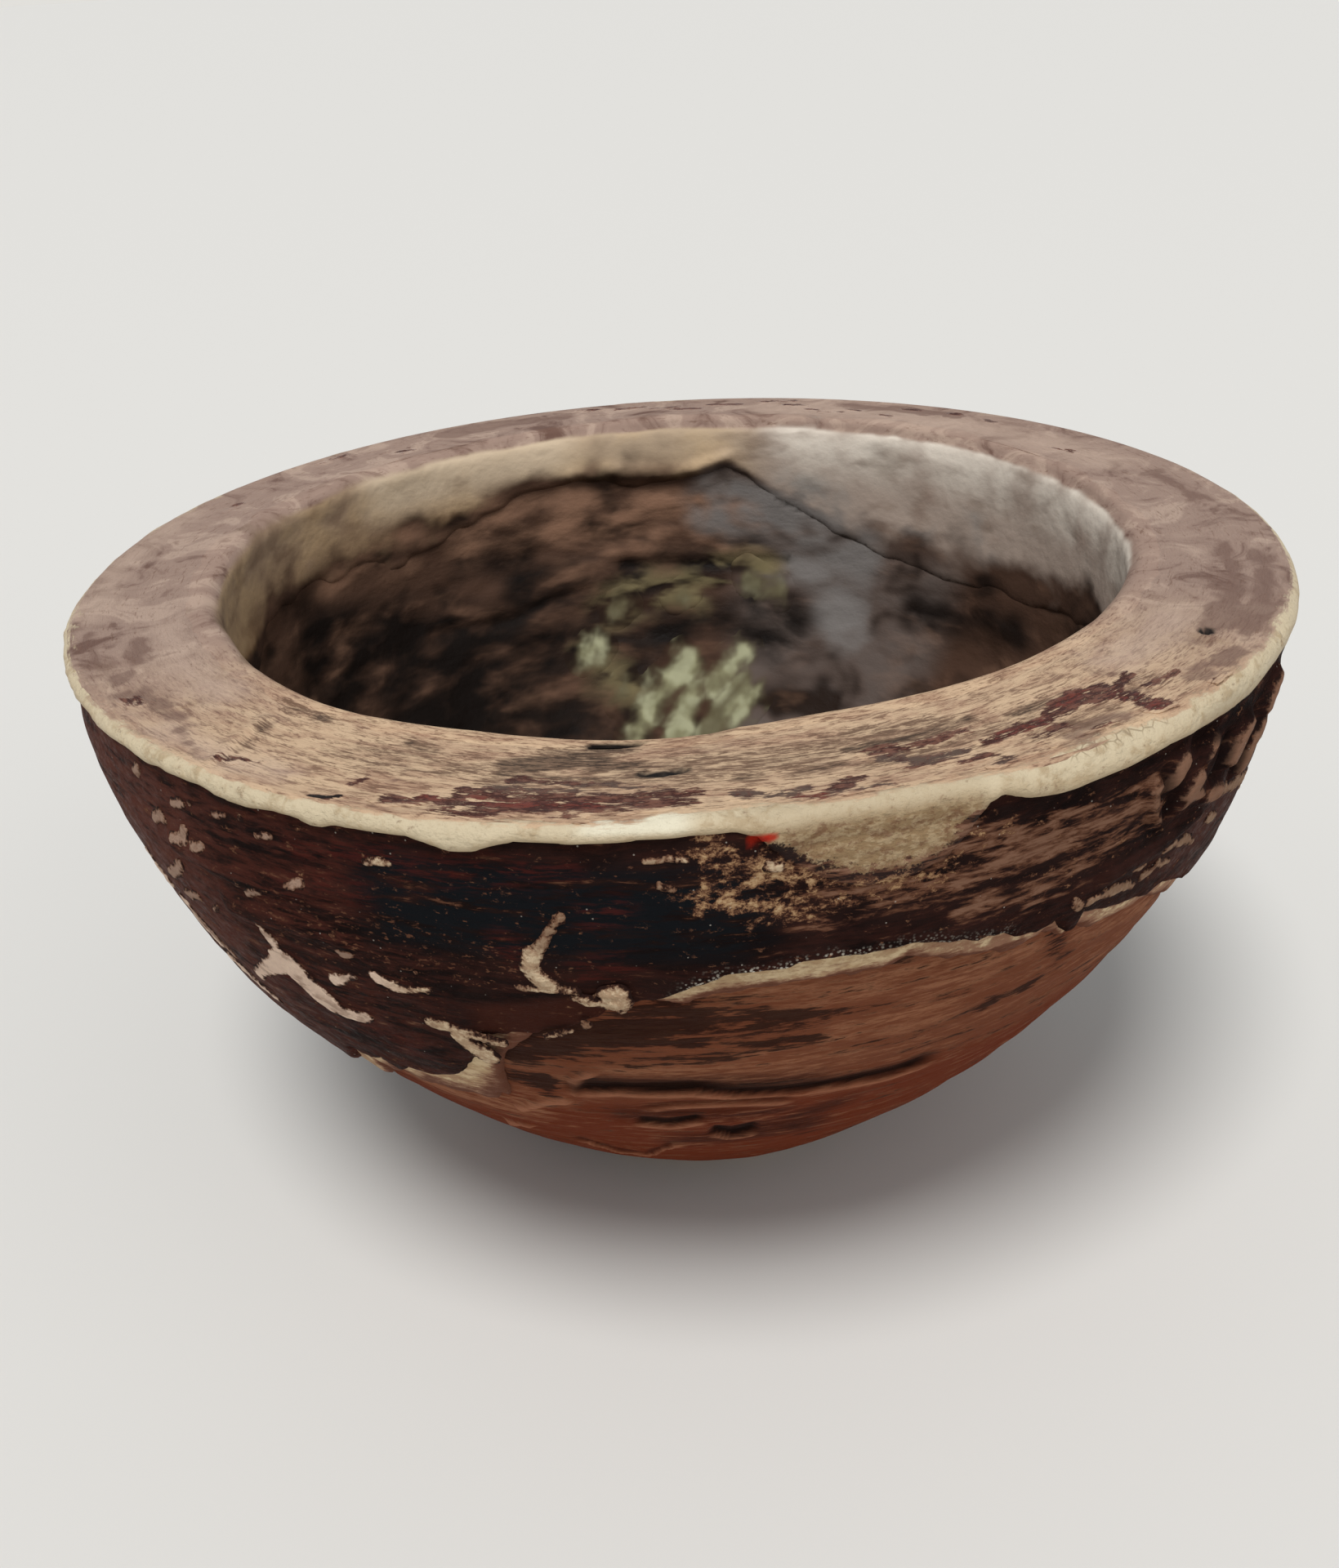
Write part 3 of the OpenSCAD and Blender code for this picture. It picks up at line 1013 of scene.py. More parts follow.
@dataclass(frozen=True)
class SkinTone:
    """The dark skin's colours: blue-black and maroon zones, tan where it is rubbed, with fine specks and
    painted white glints, lumps painted lighter, partly worn and partly a painted highlight, and painted shade
    in the hollows.
    """

    dark: Colour = seen(43, 28, 25)
    deep: Colour = seen(26, 18, 17)
    blue: Colour = seen(24, 26, 29)
    maroon: Colour = seen(72, 39, 32)
    red: Colour = seen(88, 36, 30)
    thin: Colour = seen(68, 36, 28)
    russet: Colour = seen(92, 54, 45)
    brown: Colour = seen(108, 72, 54)
    bark: Colour = seen(138, 103, 83)
    tan: Colour = seen(178, 142, 104)
    cream: Colour = seen(206, 180, 142)
    scarlet: Colour = seen(172, 42, 26)
    white: Colour = seen(200, 192, 180)

    WORN = sketch(
        (((1, 64.2), (4, 63.6), (8, 63)), 1.6), (((1.4, 68.6), (2.6, 66.8), (4, 65.6)), 1.3),
        (((4.6, 66.6), (8, 65.2)), 1.5), (((10, 63.6), (15, 63.4), (19, 64.2)), 1.0),
        (((20, 66.4), (23, 66.2)), 0.5), (((27, 60), (31, 60.7), (34, 61.3)), 0.2),
    )
    STREAKS = sketch(
        (((20, 59.6), (26, 59.8)), 0.8), (((26, 59.2), (31, 60.2), (36, 61.8)), 1.3),
    )
    RED = sketch(
        (((-21, 65.8), (-15, 66.6), (-9, 67.2)), 0.9), (((-32, 62), (-28, 62.6), (-25, 63)), 0.8),
        (((-8, 57.2), (-5.4, 57.8)), 1.0), (((-7.4, 62.8), (-5.4, 63.4)), 0.7), (((-14, 60), (-13, 58)), 0.7),
        (((-30, 66), (-22, 67)), 0.8), (((-39, 50), (-36.6, 47.4), (-34.4, 45.4)), 1.0),
        (((-29.6, 44.8), (-26, 44.4)), 0.8),
    )
    FLECK = sketch((((4.2, 69.3), (5.4, 69.6)), 0.3, 0.2))

    @classmethod
    def marks(cls, turn: Array, level: Array, radius: Array | float) -> Marks:
        """Gives the skin's worn, red, blue-black, maroon, speckled and streaked parts by turn and height, the
        lumps painted lighter, partly worn and partly a painted highlight, and the painted shade in the
        hollows and under the bead at the right.
        """
        worn = reach(cls.WORN, turn, level, radius) + 0.8 * Grain(54).ring(turn, level, 3.2, 1.8)
        middle = window(turn, -22, 2, 6) * smooth(level, 57, 60) * (1 - smooth(level, 66, 68.5))
        speckled = window(turn, -34, -16, 8) * smooth(level, 53.5, 55.5) * (1 - smooth(level, 60, 62.5))
        left = window(turn, -110, -36, 14)
        band = (0.55 * window(turn, 10, 37, 5) + 0.12 * window(turn, 40, 70, 5)) * smooth(level, 58.5, 62)
        low = 0.55 * window(turn, 46, 75, 9) * (1 - smooth(level, 55, 60))
        # no brown streaks just below the bead at the right, which keeps a band of painted shade under its
        # overhang
        band *= 1 - window(turn, 22, 70, 2) * smooth(level - around(turn, RimLip.LOW), -2.4, -0.8)
        return {
            "worn": 0.62 * smooth(worn, -2.0, 2.0),
            "sides": np.maximum(window(turn, -66, -60, 50) * window(turn, -190, -45, 9), low),
            "reddish": smooth(reach(cls.RED, turn, level, radius), -1.8, 0.8),
            "blue": middle,
            "maroon": np.clip(0.35 + 0.4 * window(turn, -36, -24, 8) + 0.65 * left - middle, 0, 1),
            "specks": np.clip(0.25 + 0.6 * speckled, 0, 1),
            "streaked": np.maximum(band, 0.56 * smooth(reach(cls.STREAKS, turn, level, radius), -1.4, 0.6)),
            # lumps painted lighter: partly worn paint, partly a painted highlight
            "lump": smooth(Relief.lumps(turn, level, radius), -0.1, 0.6),
            # painted shade in the hollows between the lumps
            "hollow_shade": smooth(reach(Relief.HOLLOWS, turn, level, radius), -0.6, 0.3),
            "thin": window(turn, -17, -6.5, 2.5) * (1 - smooth(level - 0.25 * turn, 56, 57.4)),
            "fleck": smooth(reach(cls.FLECK, turn, level, radius), -0.3, 0.0),
        }

    def paint(self, mix: Recipe) -> tuple[Socket, Socket, Socket]:
        """Gives the colour, the level grain and the crumbs."""
        cloud = mix.noise(mix.level(13, 5), 4, 0.8)
        grain = mix.grit(7, 0.9)
        streak = mix.grit(11, 1.8, False, 0.8)
        crumb = mix.noise(mix.level(1.4, 1.0), 8, 0.2, 0.75)
        fine = mix.noise(mix.level(0.8, 0.4), 4)
        glint = mix.cells(mix.level(1.5, 1.5))
        colour = mix.coats(
            self.deep,
            (self.dark, mix.step(cloud, 0.36, 0.6)),
            (self.maroon, "maroon", mix.step(streak, 0.42, 0.58)),
            (self.blue, "blue", mix.step(streak, 0.6, 0.46)),
            (self.russet, "sides", mix.step(streak, 0.36, 0.56)),
            (self.red, "reddish", mix.step(grain, 0.46, 0.6), 0.55),
            (self.thin, "thin", 0.9),
            (self.brown, mix.speckle("streaked", streak, 7.0, 0.3), 0.85),
            (self.bark, mix.speckle(mix.plus("streaked", -0.22), streak, 7.0, 0.3), 0.8),
            # lumps painted lighter, partly a painted highlight, and painted shade in the hollows
            (self.bark, mix.speckle("lump", crumb, 4.0, 0.5)),
            (self.deep, "hollow_shade", 0.8),
            (self.brown, mix.speckle(mix.times("specks", 0.24), fine, 4.0), 0.9),
            (self.brown, mix.speckle("worn", crumb, 6.0, 0.25)),
            (self.tan, mix.speckle(mix.plus("worn", -0.2), crumb, 6.0, 0.3)),
            (self.cream, mix.speckle(mix.plus("worn", -0.45), crumb, 6.0, 0.3), 0.7),
            # painted glints: small white dots scattered over the skin
            (self.white, mix.step(glint, 0.06, 0.04), 0.5),
            (self.scarlet, "fleck"),
        )
        return colour, grain, crumb


@dataclass(frozen=True)
class LiningTone:
    """The lining's colours: brown and rust streaks, dark patches with painted shade in its hollows, low at
    the left and in its creases, moss and a painted blue-grey sheen at the right.
    """

    brown: Colour = seen(80, 58, 46)
    rust: Colour = seen(146, 111, 89)
    # dark patches, also used as painted shade
    soot_and_shade: Colour = seen(23, 17, 14)
    # colour of the painted blue-grey sheen
    blue: Colour = seen(128, 123, 119)
    moss: Colour = seen(128, 116, 84)

    RUST = sketch(
        (((-146, 59.5), (-158, 60), (-172, 59), (-184, 57.4), (-196, 59)), 3.4),
        (((-162, 55.4), (-180, 56), (-192, 55.6)), 2.8), (((-168, 44.6), (-164, 45)), 1.0),
        (((-118, 60), (-134, 60.4)), 1.8),
    )
    # painted blue-grey sheen on the right wall
    BLUE_SHEEN = sketch(
        (((171, 60), (164, 58), (154, 56), (147, 53)), 4.2, 3.6), (((150, 46), (146, 43)), 3.4),
        (((160, 50.6), (154, 49.6)), 2.4),
    )
    # dark patches, and painted shade low on the left wall
    SOOT_AND_SHADE = sketch(
        (((-112, 52), (-126, 48), (-140, 45), (-152, 43)), 6.5, 4.5),
        (((-128, 40), (-142, 36), (-150, 32)), 6.0), (((-152, 48.6), (-166, 48.4), (-182, 50)), 1.8),
        (((-178, 45), (-190, 44)), 1.8), (((164, 46), (156, 44)), 1.6),
        (((112, 50.6), (122, 49.4), (134, 47.6)), 1.6), (((172, 43), (160, 41)), 1.4),
        (((172, 52.5), (164, 52.5)), 1.0), (((-154, 51.4), (-164, 50)), 2.0), (((-140, 47), (-130, 45)), 4.0),
        (((-144, 56), (-155, 55.2)), 1.4), (((176, 43.4), (183, 42.4)), 2.0), (((-158, 43), (-166, 41)), 1.6),
    )
    MOSS = sketch(
        (((192, 45.6), (186, 47.6), (176, 47.4)), 1.6), (((174, 49), (164, 50.4)), 1.2),
        (((196, 40), (190, 36)), 1.2),
    )

    @classmethod
    def marks(cls, turn: Array, level: Array, radius: Array) -> Marks:
        """Gives the rust, painted blue-grey sheen, dark patches with painted shade, and moss parts by turn
        about the cavity's axis and height.
        """
        fray = 1.4 * Grain(93).ring(turn, level, 7, 3)
        kinds = (("rust", cls.RUST), ("blue", cls.BLUE_SHEEN), ("soot_and_shade", cls.SOOT_AND_SHADE), ("moss", cls.MOSS))
        found = {name: smooth(reach(strokes, turn, level, radius) + fray, -3, 2) for name, strokes in kinds}
        # painted shade low on the left wall
        low = 0.85 * smooth(-level, -52, -43) * window(turn, 188, 240, 8)
        found["soot_and_shade"] = np.maximum(found["soot_and_shade"], low)
        # painted blue-grey sheen on the right wall, fading downwards
        cool_sheen = 0.36 * window(turn, 132, 164, 9) * (1 - smooth(level, 52, 58))
        found["blue"] = np.maximum(0.92 * found["blue"], cool_sheen)
        return found

    def paint(self, mix: Recipe) -> tuple[Socket, Socket]:
        """Gives the colour and the streaks."""
        cloud = mix.noise(mix.level(10, 6), 2, 0.2)
        streak = mix.noise(mix.level(9, 3.4), 3, 0.2, 0.5)
        colour = mix.coats(
            self.brown,
            (self.soot_and_shade, mix.step(cloud, 0.54, 0.34), 0.8),
            (self.rust, "rust", mix.step(streak, 0.32, 0.66)),
            (self.rust, mix.step(streak, 0.54, 0.74), 0.3),
            # painted blue-grey sheen
            (self.blue, "blue", mix.step(cloud, 0.3, 0.6)),
            # dark patches and painted shade
            (self.soot_and_shade, "soot_and_shade", mix.step(streak, 0.78, 0.4)),
            (self.moss, "moss", mix.step(streak, 0.42, 0.6)),
        )
        return colour, streak


@dataclass(frozen=True)
class RimFinish(Finish):
    """The rubbed rim."""

    def make(self) -> Material:
        """Makes the material."""
        mix = Recipe("rubbed_rim")
        colour, lines = RimTone().paint(mix)
        return mix.done(colour, mix.step(lines, -0.6, 1.1), 0.25, (lines, 0.25))


@dataclass(frozen=True)
class LipFinish(Finish):
    """Cream bead, olive and speckled where it has run down over the skin, crackled in one place, with painted
    shade on its underside and a painted highlight at the front.
    """

    cream: Colour = seen(207, 191, 161)
    straw: Colour = seen(176, 154, 122)
    olive: Colour = seen(144, 119, 88)
    rust: Colour = seen(104, 66, 48)
    crack: Colour = seen(132, 112, 88)
    # colour of the painted highlight
    painted_highlight: Colour = seen(236, 230, 206)

    def make(self) -> Material:
        """Makes the material."""
        mix = Recipe("cream_bead")
        rim, lines = RimTone().paint(mix)
        skin, _, crumb = SkinTone().paint(mix)
        cloud = mix.grit(5, 3)
        fine = mix.noise(mix.level(0.9, 0.5), 5)
        crack = mix.step(mix.cells(mix.level(1.1, 1.1), True), 0.09, 0.02)
        bead = mix.coats(
            self.cream,
            (self.straw, mix.step(cloud, 0.48, 0.62), 0.8),
            # painted shade on the bead's underside
            (self.straw, "under", 0.8),
            # painted highlight: a paler cream patch at the front of the bead
            (self.painted_highlight, "painted_highlight", 0.7),
            (self.olive, "spill"),
            (self.straw, "spill", mix.step(fine, 0.46, 0.6), 0.7),
            (self.rust, mix.speckle(mix.times("spill", 0.3), crumb, 6.0, 0.4), 0.6),
            (self.crack, "crackle", crack, 0.6),
        )
        bead = mix.coats(rim, (bead, mix.speckle(mix.times("inner", 1.5), lines, 5.0, 0.5)))
        bead = mix.coats(skin, (bead, mix.speckle(mix.times("film", 1.8), crumb, 6.0, 0.25)))
        colour = mix.coats(bead, (SkinTone().scarlet, "fleck"))
        return mix.done(colour, mix.step(fine, -0.5, 1.6), 0.06, (fine, 0.25), (cloud, 0.45))


@dataclass(frozen=True)
class FlakeFinish(Finish):
    """Dark red skin left in the rim, which fades into it in streaks, with crimson and grey parts."""

    dark: Colour = seen(68, 38, 32)
    brown: Colour = seen(116, 78, 64)
    crimson: Colour = seen(112, 34, 30)
    grey: Colour = seen(94, 76, 66)
    black: Colour = seen(24, 18, 16)

    def make(self) -> Material:
        """Makes the material."""
        mix = Recipe("dark_flake")
        rim, lines = RimTone().paint(mix)
        streak = mix.grit(3.6, 0.9, True)
        fine = mix.noise(mix.level(0.7, 0.7), 4)
        both = mix.plus(mix.times(streak, 0.5), mix.times(lines, 0.5))
        flake = mix.coats(
            self.dark,
            (self.brown, mix.step(streak, 0.48, 0.58)),
            (self.grey, "grey", mix.step(fine, 0.3, 0.6)),
            (self.crimson, "crimson", mix.step(streak, 0.45, 0.58), 0.6),
            (self.black, "black"),
        )
        cover = mix.times(mix.plus("deep", "black"), 0.85)
        colour = mix.coats(rim, (flake, mix.speckle(cover, both, 9.0, 0.35)))
        return mix.done(colour, mix.step(fine, 0.0, 1.2), 0.12, (fine, 0.1), (streak, 0.2))


@dataclass(frozen=True)
class SkinFinish(Finish):
    """The dark skin, with painted white glints dotted along part of its torn edge."""

    # colour of the painted glints
    painted_glint: Colour = seen(222, 214, 198)

    def make(self) -> Material:
        """Makes the material."""
        mix = Recipe("dark_skin")
        skin, grain, crumb = SkinTone().paint(mix)
        glint_cells = mix.step(mix.cells(mix.level(0.34, 0.3)), 0.5, 0.2)
        # painted glints: white dots along the torn edge
        colour = mix.coats(skin, (self.painted_glint, "painted_glint", glint_cells, mix.step(crumb, 0.36, 0.54)))
        return mix.done(colour, mix.step(crumb, 0.0, 1.05), 0.006, (crumb, 0.35), (grain, 0.2))


@dataclass(frozen=True)
class GroundFinish(Finish):
    """Pale coat, pinker where it is rubbed and thin towards the fibre."""

    pale: Colour = seen(186, 157, 120)
    cream: Colour = seen(212, 188, 150)
    pink: Colour = seen(148, 108, 84)
    fibre: Colour = seen(100, 60, 43)

    def make(self) -> Material:
        """Makes the material."""
        mix = Recipe("pale_coat")
        cloud = mix.grit(4, 2)
        crumb = mix.grit(3.2, 0.8)
        colour = mix.coats(
            self.pale,
            (self.cream, mix.step(cloud, 0.45, 0.57)),
            (self.pink, "pink", mix.step(cloud, 0.62, 0.44)),
            (self.pink, mix.speckle(mix.plus("feather", 0.25), crumb, 4.0, 0.6)),
            (self.fibre, mix.speckle("feather", crumb, 4.0, 0.6)),
        )
        return mix.done(colour, mix.step(crumb, -0.9, 1.0), 0.12, (crumb, 0.4))


@dataclass(frozen=True)
class FibreFinish(Finish):
    """Red-brown fibre with short level streaks, paler on its ridges, with painted shade in its grooves, under
    the tear, low on the front and towards the foot, and a painted highlight on the ledges' edges.
    """

    mid: Colour = seen(118, 68, 46)
    light: Colour = seen(154, 104, 76)
    dark: Colour = seen(40, 21, 16)
    low: Colour = seen(106, 47, 25)
    pale: Colour = seen(170, 114, 86)
    hollow_shade: Colour = seen(22, 11, 8)

    def make(self) -> Material:
        """Makes the material."""
        mix = Recipe("red_fibre")
        bands = mix.noise(mix.level(20, 2.2), 5, 0.5)
        dash = mix.grit(8, 0.9)
        fine = mix.noise(mix.level(1.2, 0.4), 5)
        both = mix.plus(mix.times(bands, 0.35), mix.times(dash, 0.65))
        colour = mix.coats(
            self.mid,
            (self.light, mix.step(dash, 0.48, 0.6), 0.7),
            # darker and redder towards the foot: painted shade with a warm painted bounce
            (self.low, "low", mix.step(dash, 0.66, 0.5)),
            (self.light, "rub", mix.step(dash, 0.4, 0.58)),
            (self.dark, mix.speckle("dark", both, 9.0, 0.3), 0.9),
            # painted shade low on the front
            (self.dark, "dusk", mix.step(dash, 0.68, 0.42)),
            # pale ridges, and a painted highlight on the ledges' edges
            (self.pale, "pale", mix.step(dash, 0.3, 0.5)),
            # painted shade in the cut above each ledge
            (self.hollow_shade, "cut", 0.95),
        )
        return mix.done(colour, mix.step(fine, -1.2, 1.1), 0.05, (fine, 0.15), (dash, 0.7))


@dataclass(frozen=True)
class ScabFinish(Finish):
    """Pale crumbly patches, which break up into the dark skin at their borders, painted lighter at the left
    as painted light.
    """

    pale: Colour = seen(182, 152, 122)
    cream: Colour = seen(212, 188, 156)
    brown: Colour = seen(118, 82, 62)
    dark: Colour = seen(42, 24, 20)
    # colour of the painted light on the left patches
    painted_light_left: Colour = seen(238, 210, 190)

    def make(self) -> Material:
        """Makes the material."""
        mix = Recipe("pale_scab")
        crumb = mix.grit(1.4, 1.1)
        cloud = mix.noise(mix.level(2.6, 1.6), 4)
        scab = mix.coats(
            self.pale,
            (self.cream, mix.step(crumb, 0.46, 0.58)),
            # painted light on the patches at the left
            (self.painted_light_left, "painted_light_left", 0.75),
            (self.brown, mix.step(cloud, 0.52, 0.66), 0.5),
            (self.brown, "dim", 0.7),
        )
        scab = mix.coats(self.brown, (scab, mix.speckle(mix.times("deep", 1.1), crumb, 5.0, 0.5)))
        colour = mix.coats(self.dark, (scab, mix.speckle(mix.plus("deep", 0.25), crumb, 6.0, 0.3)))
        return mix.done(colour, mix.step(crumb, -0.8, 1.2), 0.06, (crumb, 0.6))


@dataclass(frozen=True)
class LiningFinish(Finish):
    """The dark scraped lining."""

    def make(self) -> Material:
        """Makes the material."""
        mix = Recipe("dark_lining")
        colour, streak = LiningTone().paint(mix)
        fine = mix.noise(mix.level(1.4, 1.0), 4)
        return mix.done(colour, mix.step(streak, -0.4, 1.1), 0.08, (fine, 0.12), (streak, 0.3))


@dataclass(frozen=True)
class CoatFinish(Finish):
    """Coat over the mouth's edge: olive at the left, pale at the back with painted light, painted shade low
    at the left, grey at the right with patches of painted blue-grey sheen, worn thin below.
    """

    olive: Colour = seen(138, 106, 74)
    pale: Colour = seen(196, 166, 128)
    grey: Colour = seen(178, 160, 146)
    # colour of the painted blue-grey sheen
    blue: Colour = seen(140, 134, 128)
    lit: Colour = seen(216, 192, 160)
    brown: Colour = seen(104, 78, 60)
    high: Colour = seen(236, 224, 208)

    def make(self) -> Material:
        """Makes the material."""
        mix = Recipe("olive_coat")
        rim, _ = RimTone().paint(mix)
        lining, streak = LiningTone().paint(mix)
        cloud = mix.noise(mix.level(9, 6), 3, 0.2, 0.5)
        fine = mix.noise(mix.level(1.2, 1.0), 4)
        # grey right side with patches of painted blue-grey sheen
        right = mix.coats(self.grey, (self.blue, "cool_sheen", mix.step(cloud, 0.62, 0.4)))
        coat = mix.coats(
            self.olive,
            (self.pale, mix.step(cloud, 0.34, 0.66)),
            # painted light at the back, then painted shade low at the left
            (self.lit, "lit"),
            (self.brown, "shade", 0.5),
            (right, "grey"),
            (self.high, "high", mix.step(cloud, 0.7, 0.4)),
            (self.brown, mix.step(streak, 0.52, 0.7), 0.4),
            (rim, mix.speckle("top", cloud, 3.0, 0.5)),
        )
        colour = mix.coats(lining, (coat, mix.speckle("deep", cloud, 3.0, 0.7)))
        return mix.done(colour, mix.step(fine, -1.0, 1.0), 0.12, (fine, 0.08), (cloud, 0.4))


@dataclass(frozen=True)
class ResidueFinish(Finish):
    """Pale green residue, chalky, olive where it is thin."""

    green: Colour = seen(144, 141, 108)
    olive: Colour = seen(92, 82, 60)
    white: Colour = seen(174, 173, 140)

    def make(self) -> Material:
        """Makes the material."""
        mix = Recipe("green_residue")
        lining, _ = LiningTone().paint(mix)
        crumb = mix.noise(mix.level(3.0, 3.8, 0.5), 2, 0.1, 0.45)
        patch = mix.coats(self.green, (self.white, mix.step(crumb, 0.4, 0.66)), (self.olive, "dim", 0.8))
        patch = mix.coats(self.olive, (patch, mix.speckle("deep", crumb, 3.0, 0.9)))
        colour = mix.coats(lining, (patch, mix.speckle(mix.plus("deep", 0.05), crumb, 3.0, 0.9)))
        return mix.done(colour, mix.step(crumb, -1.2, 1.0), 0.08, (crumb, 0.25))


# The bowl's layers, from the wall outwards

@dataclass
class ShellWall(Layer):
    """The thick wall: flat foot, hidden sides and the rubbed rim, which reaches out under the lip."""

    name: str = "shell_wall_rim"
    node: str = "shell_wall"
    slot: str = "wall"
    columns: Columns = (72, 0.5, 1.1)
    hidden: float = 4.0
    fine: float = 0.34
    sink: float = 1.8
    flange_r: float = 64.2
    behind: float = 2.4

    FINISH = RimFinish()
    SWELL = (
        (-180, 0.3), (-150, -0.4), (-120, 0.3), (-90, -0.2), (-65, -0.4), (-52, 0.2), (-40, 0.7), (-32, 0.8),
        (-20, 0.5), (-10, 0.9), (0, 1.0), (3, 0.6), (6, -0.3), (12, -0.5), (25, -0.4), (35, 0), (50, 0.1),
        (75, 0.2), (100, -0.3), (130, 0.3), (160, 0),
    )

    def legs(self) -> Legs:
        """Draws the profile from the foot's centre, up the side, over the rim and down the cavity."""
        bowl = self.bowl
        foot = np.stack([np.linspace(0, bowl.foot_r, 12), np.zeros(12)], 1)
        top = bowl.layer_top
        side = bowl.side_points(0.0, top + 0.05)
        side[:, 0] -= self.sink * smooth(side[:, 1], bowl.foot_bare - 0.5, bowl.foot_bare + 2)
        flange = np.array([[self.flange_r, top + 0.06], [self.flange_r + 0.1, top + 0.25]])
        rim = bowl.rim_points(self.flange_r - 0.2, bowl.mouth_out + 0.4)
        outside = np.concatenate([foot, side[1:], flange, rim[:1]])
        self.rim_start = float(np.hypot(*np.diff(outside, axis=0).T).sum())
        self.rim_end = self.rim_start + float(rim[0, 0] - rim[-1, 0])
        inside = bowl.cavity_points(self.behind)
        hidden = self.hidden
        return [(foot, hidden), (side[1:], hidden), (flange, 1.0), (rim, self.fine), (inside, hidden)]

    def shift(self, along: Array) -> Array:
        """Moves the inside over to the cavity's own axis, by degrees across the rim."""
        return np.clip((along - self.rim_start) / (self.rim_end - self.rim_start), 0, 1)

    def swell(self, turn: Array, along: Array) -> Array:
        """Gives the mouth's unevenness, and draws the outer edge in where the bead has run over the skin."""
        edge = smooth(along, self.rim_start - 4, self.rim_start - 2.5)
        edge *= 1 - smooth(along, self.rim_start, self.rim_start + 1.6)
        return self.shift(along) * around(turn, self.SWELL) - 0.8 * window(turn, *RimLip.SPILL, 3) * edge

    def lift(self, at: Spots) -> Array:
        """Gives the rim's relief."""
        flat = (at.along > self.rim_start - 0.01) & (at.along < self.rim_end + 0.01)
        relief = Relief.rim(at.true_turn, at.true_radius) * (1 - smooth(at.true_radius, 63, 64))
        sunk = 0.4 * window(at.true_turn, *RimLip.SPILL, 3) * smooth(at.true_radius, 62.4, 63.2)
        return flat * (relief - sunk)

    def marks(self, at: Spots) -> Marks:
        """Gives the rim's tones."""
        return RimTone.marks(at.true_turn, at.true_radius)


@dataclass(frozen=True)
class Ledge:
    """A step in the fibre: its lower edge by turn and height, how far up it is cut, its depth and ends."""

    edge: Knots
    span: float
    deep: float
    ease: float


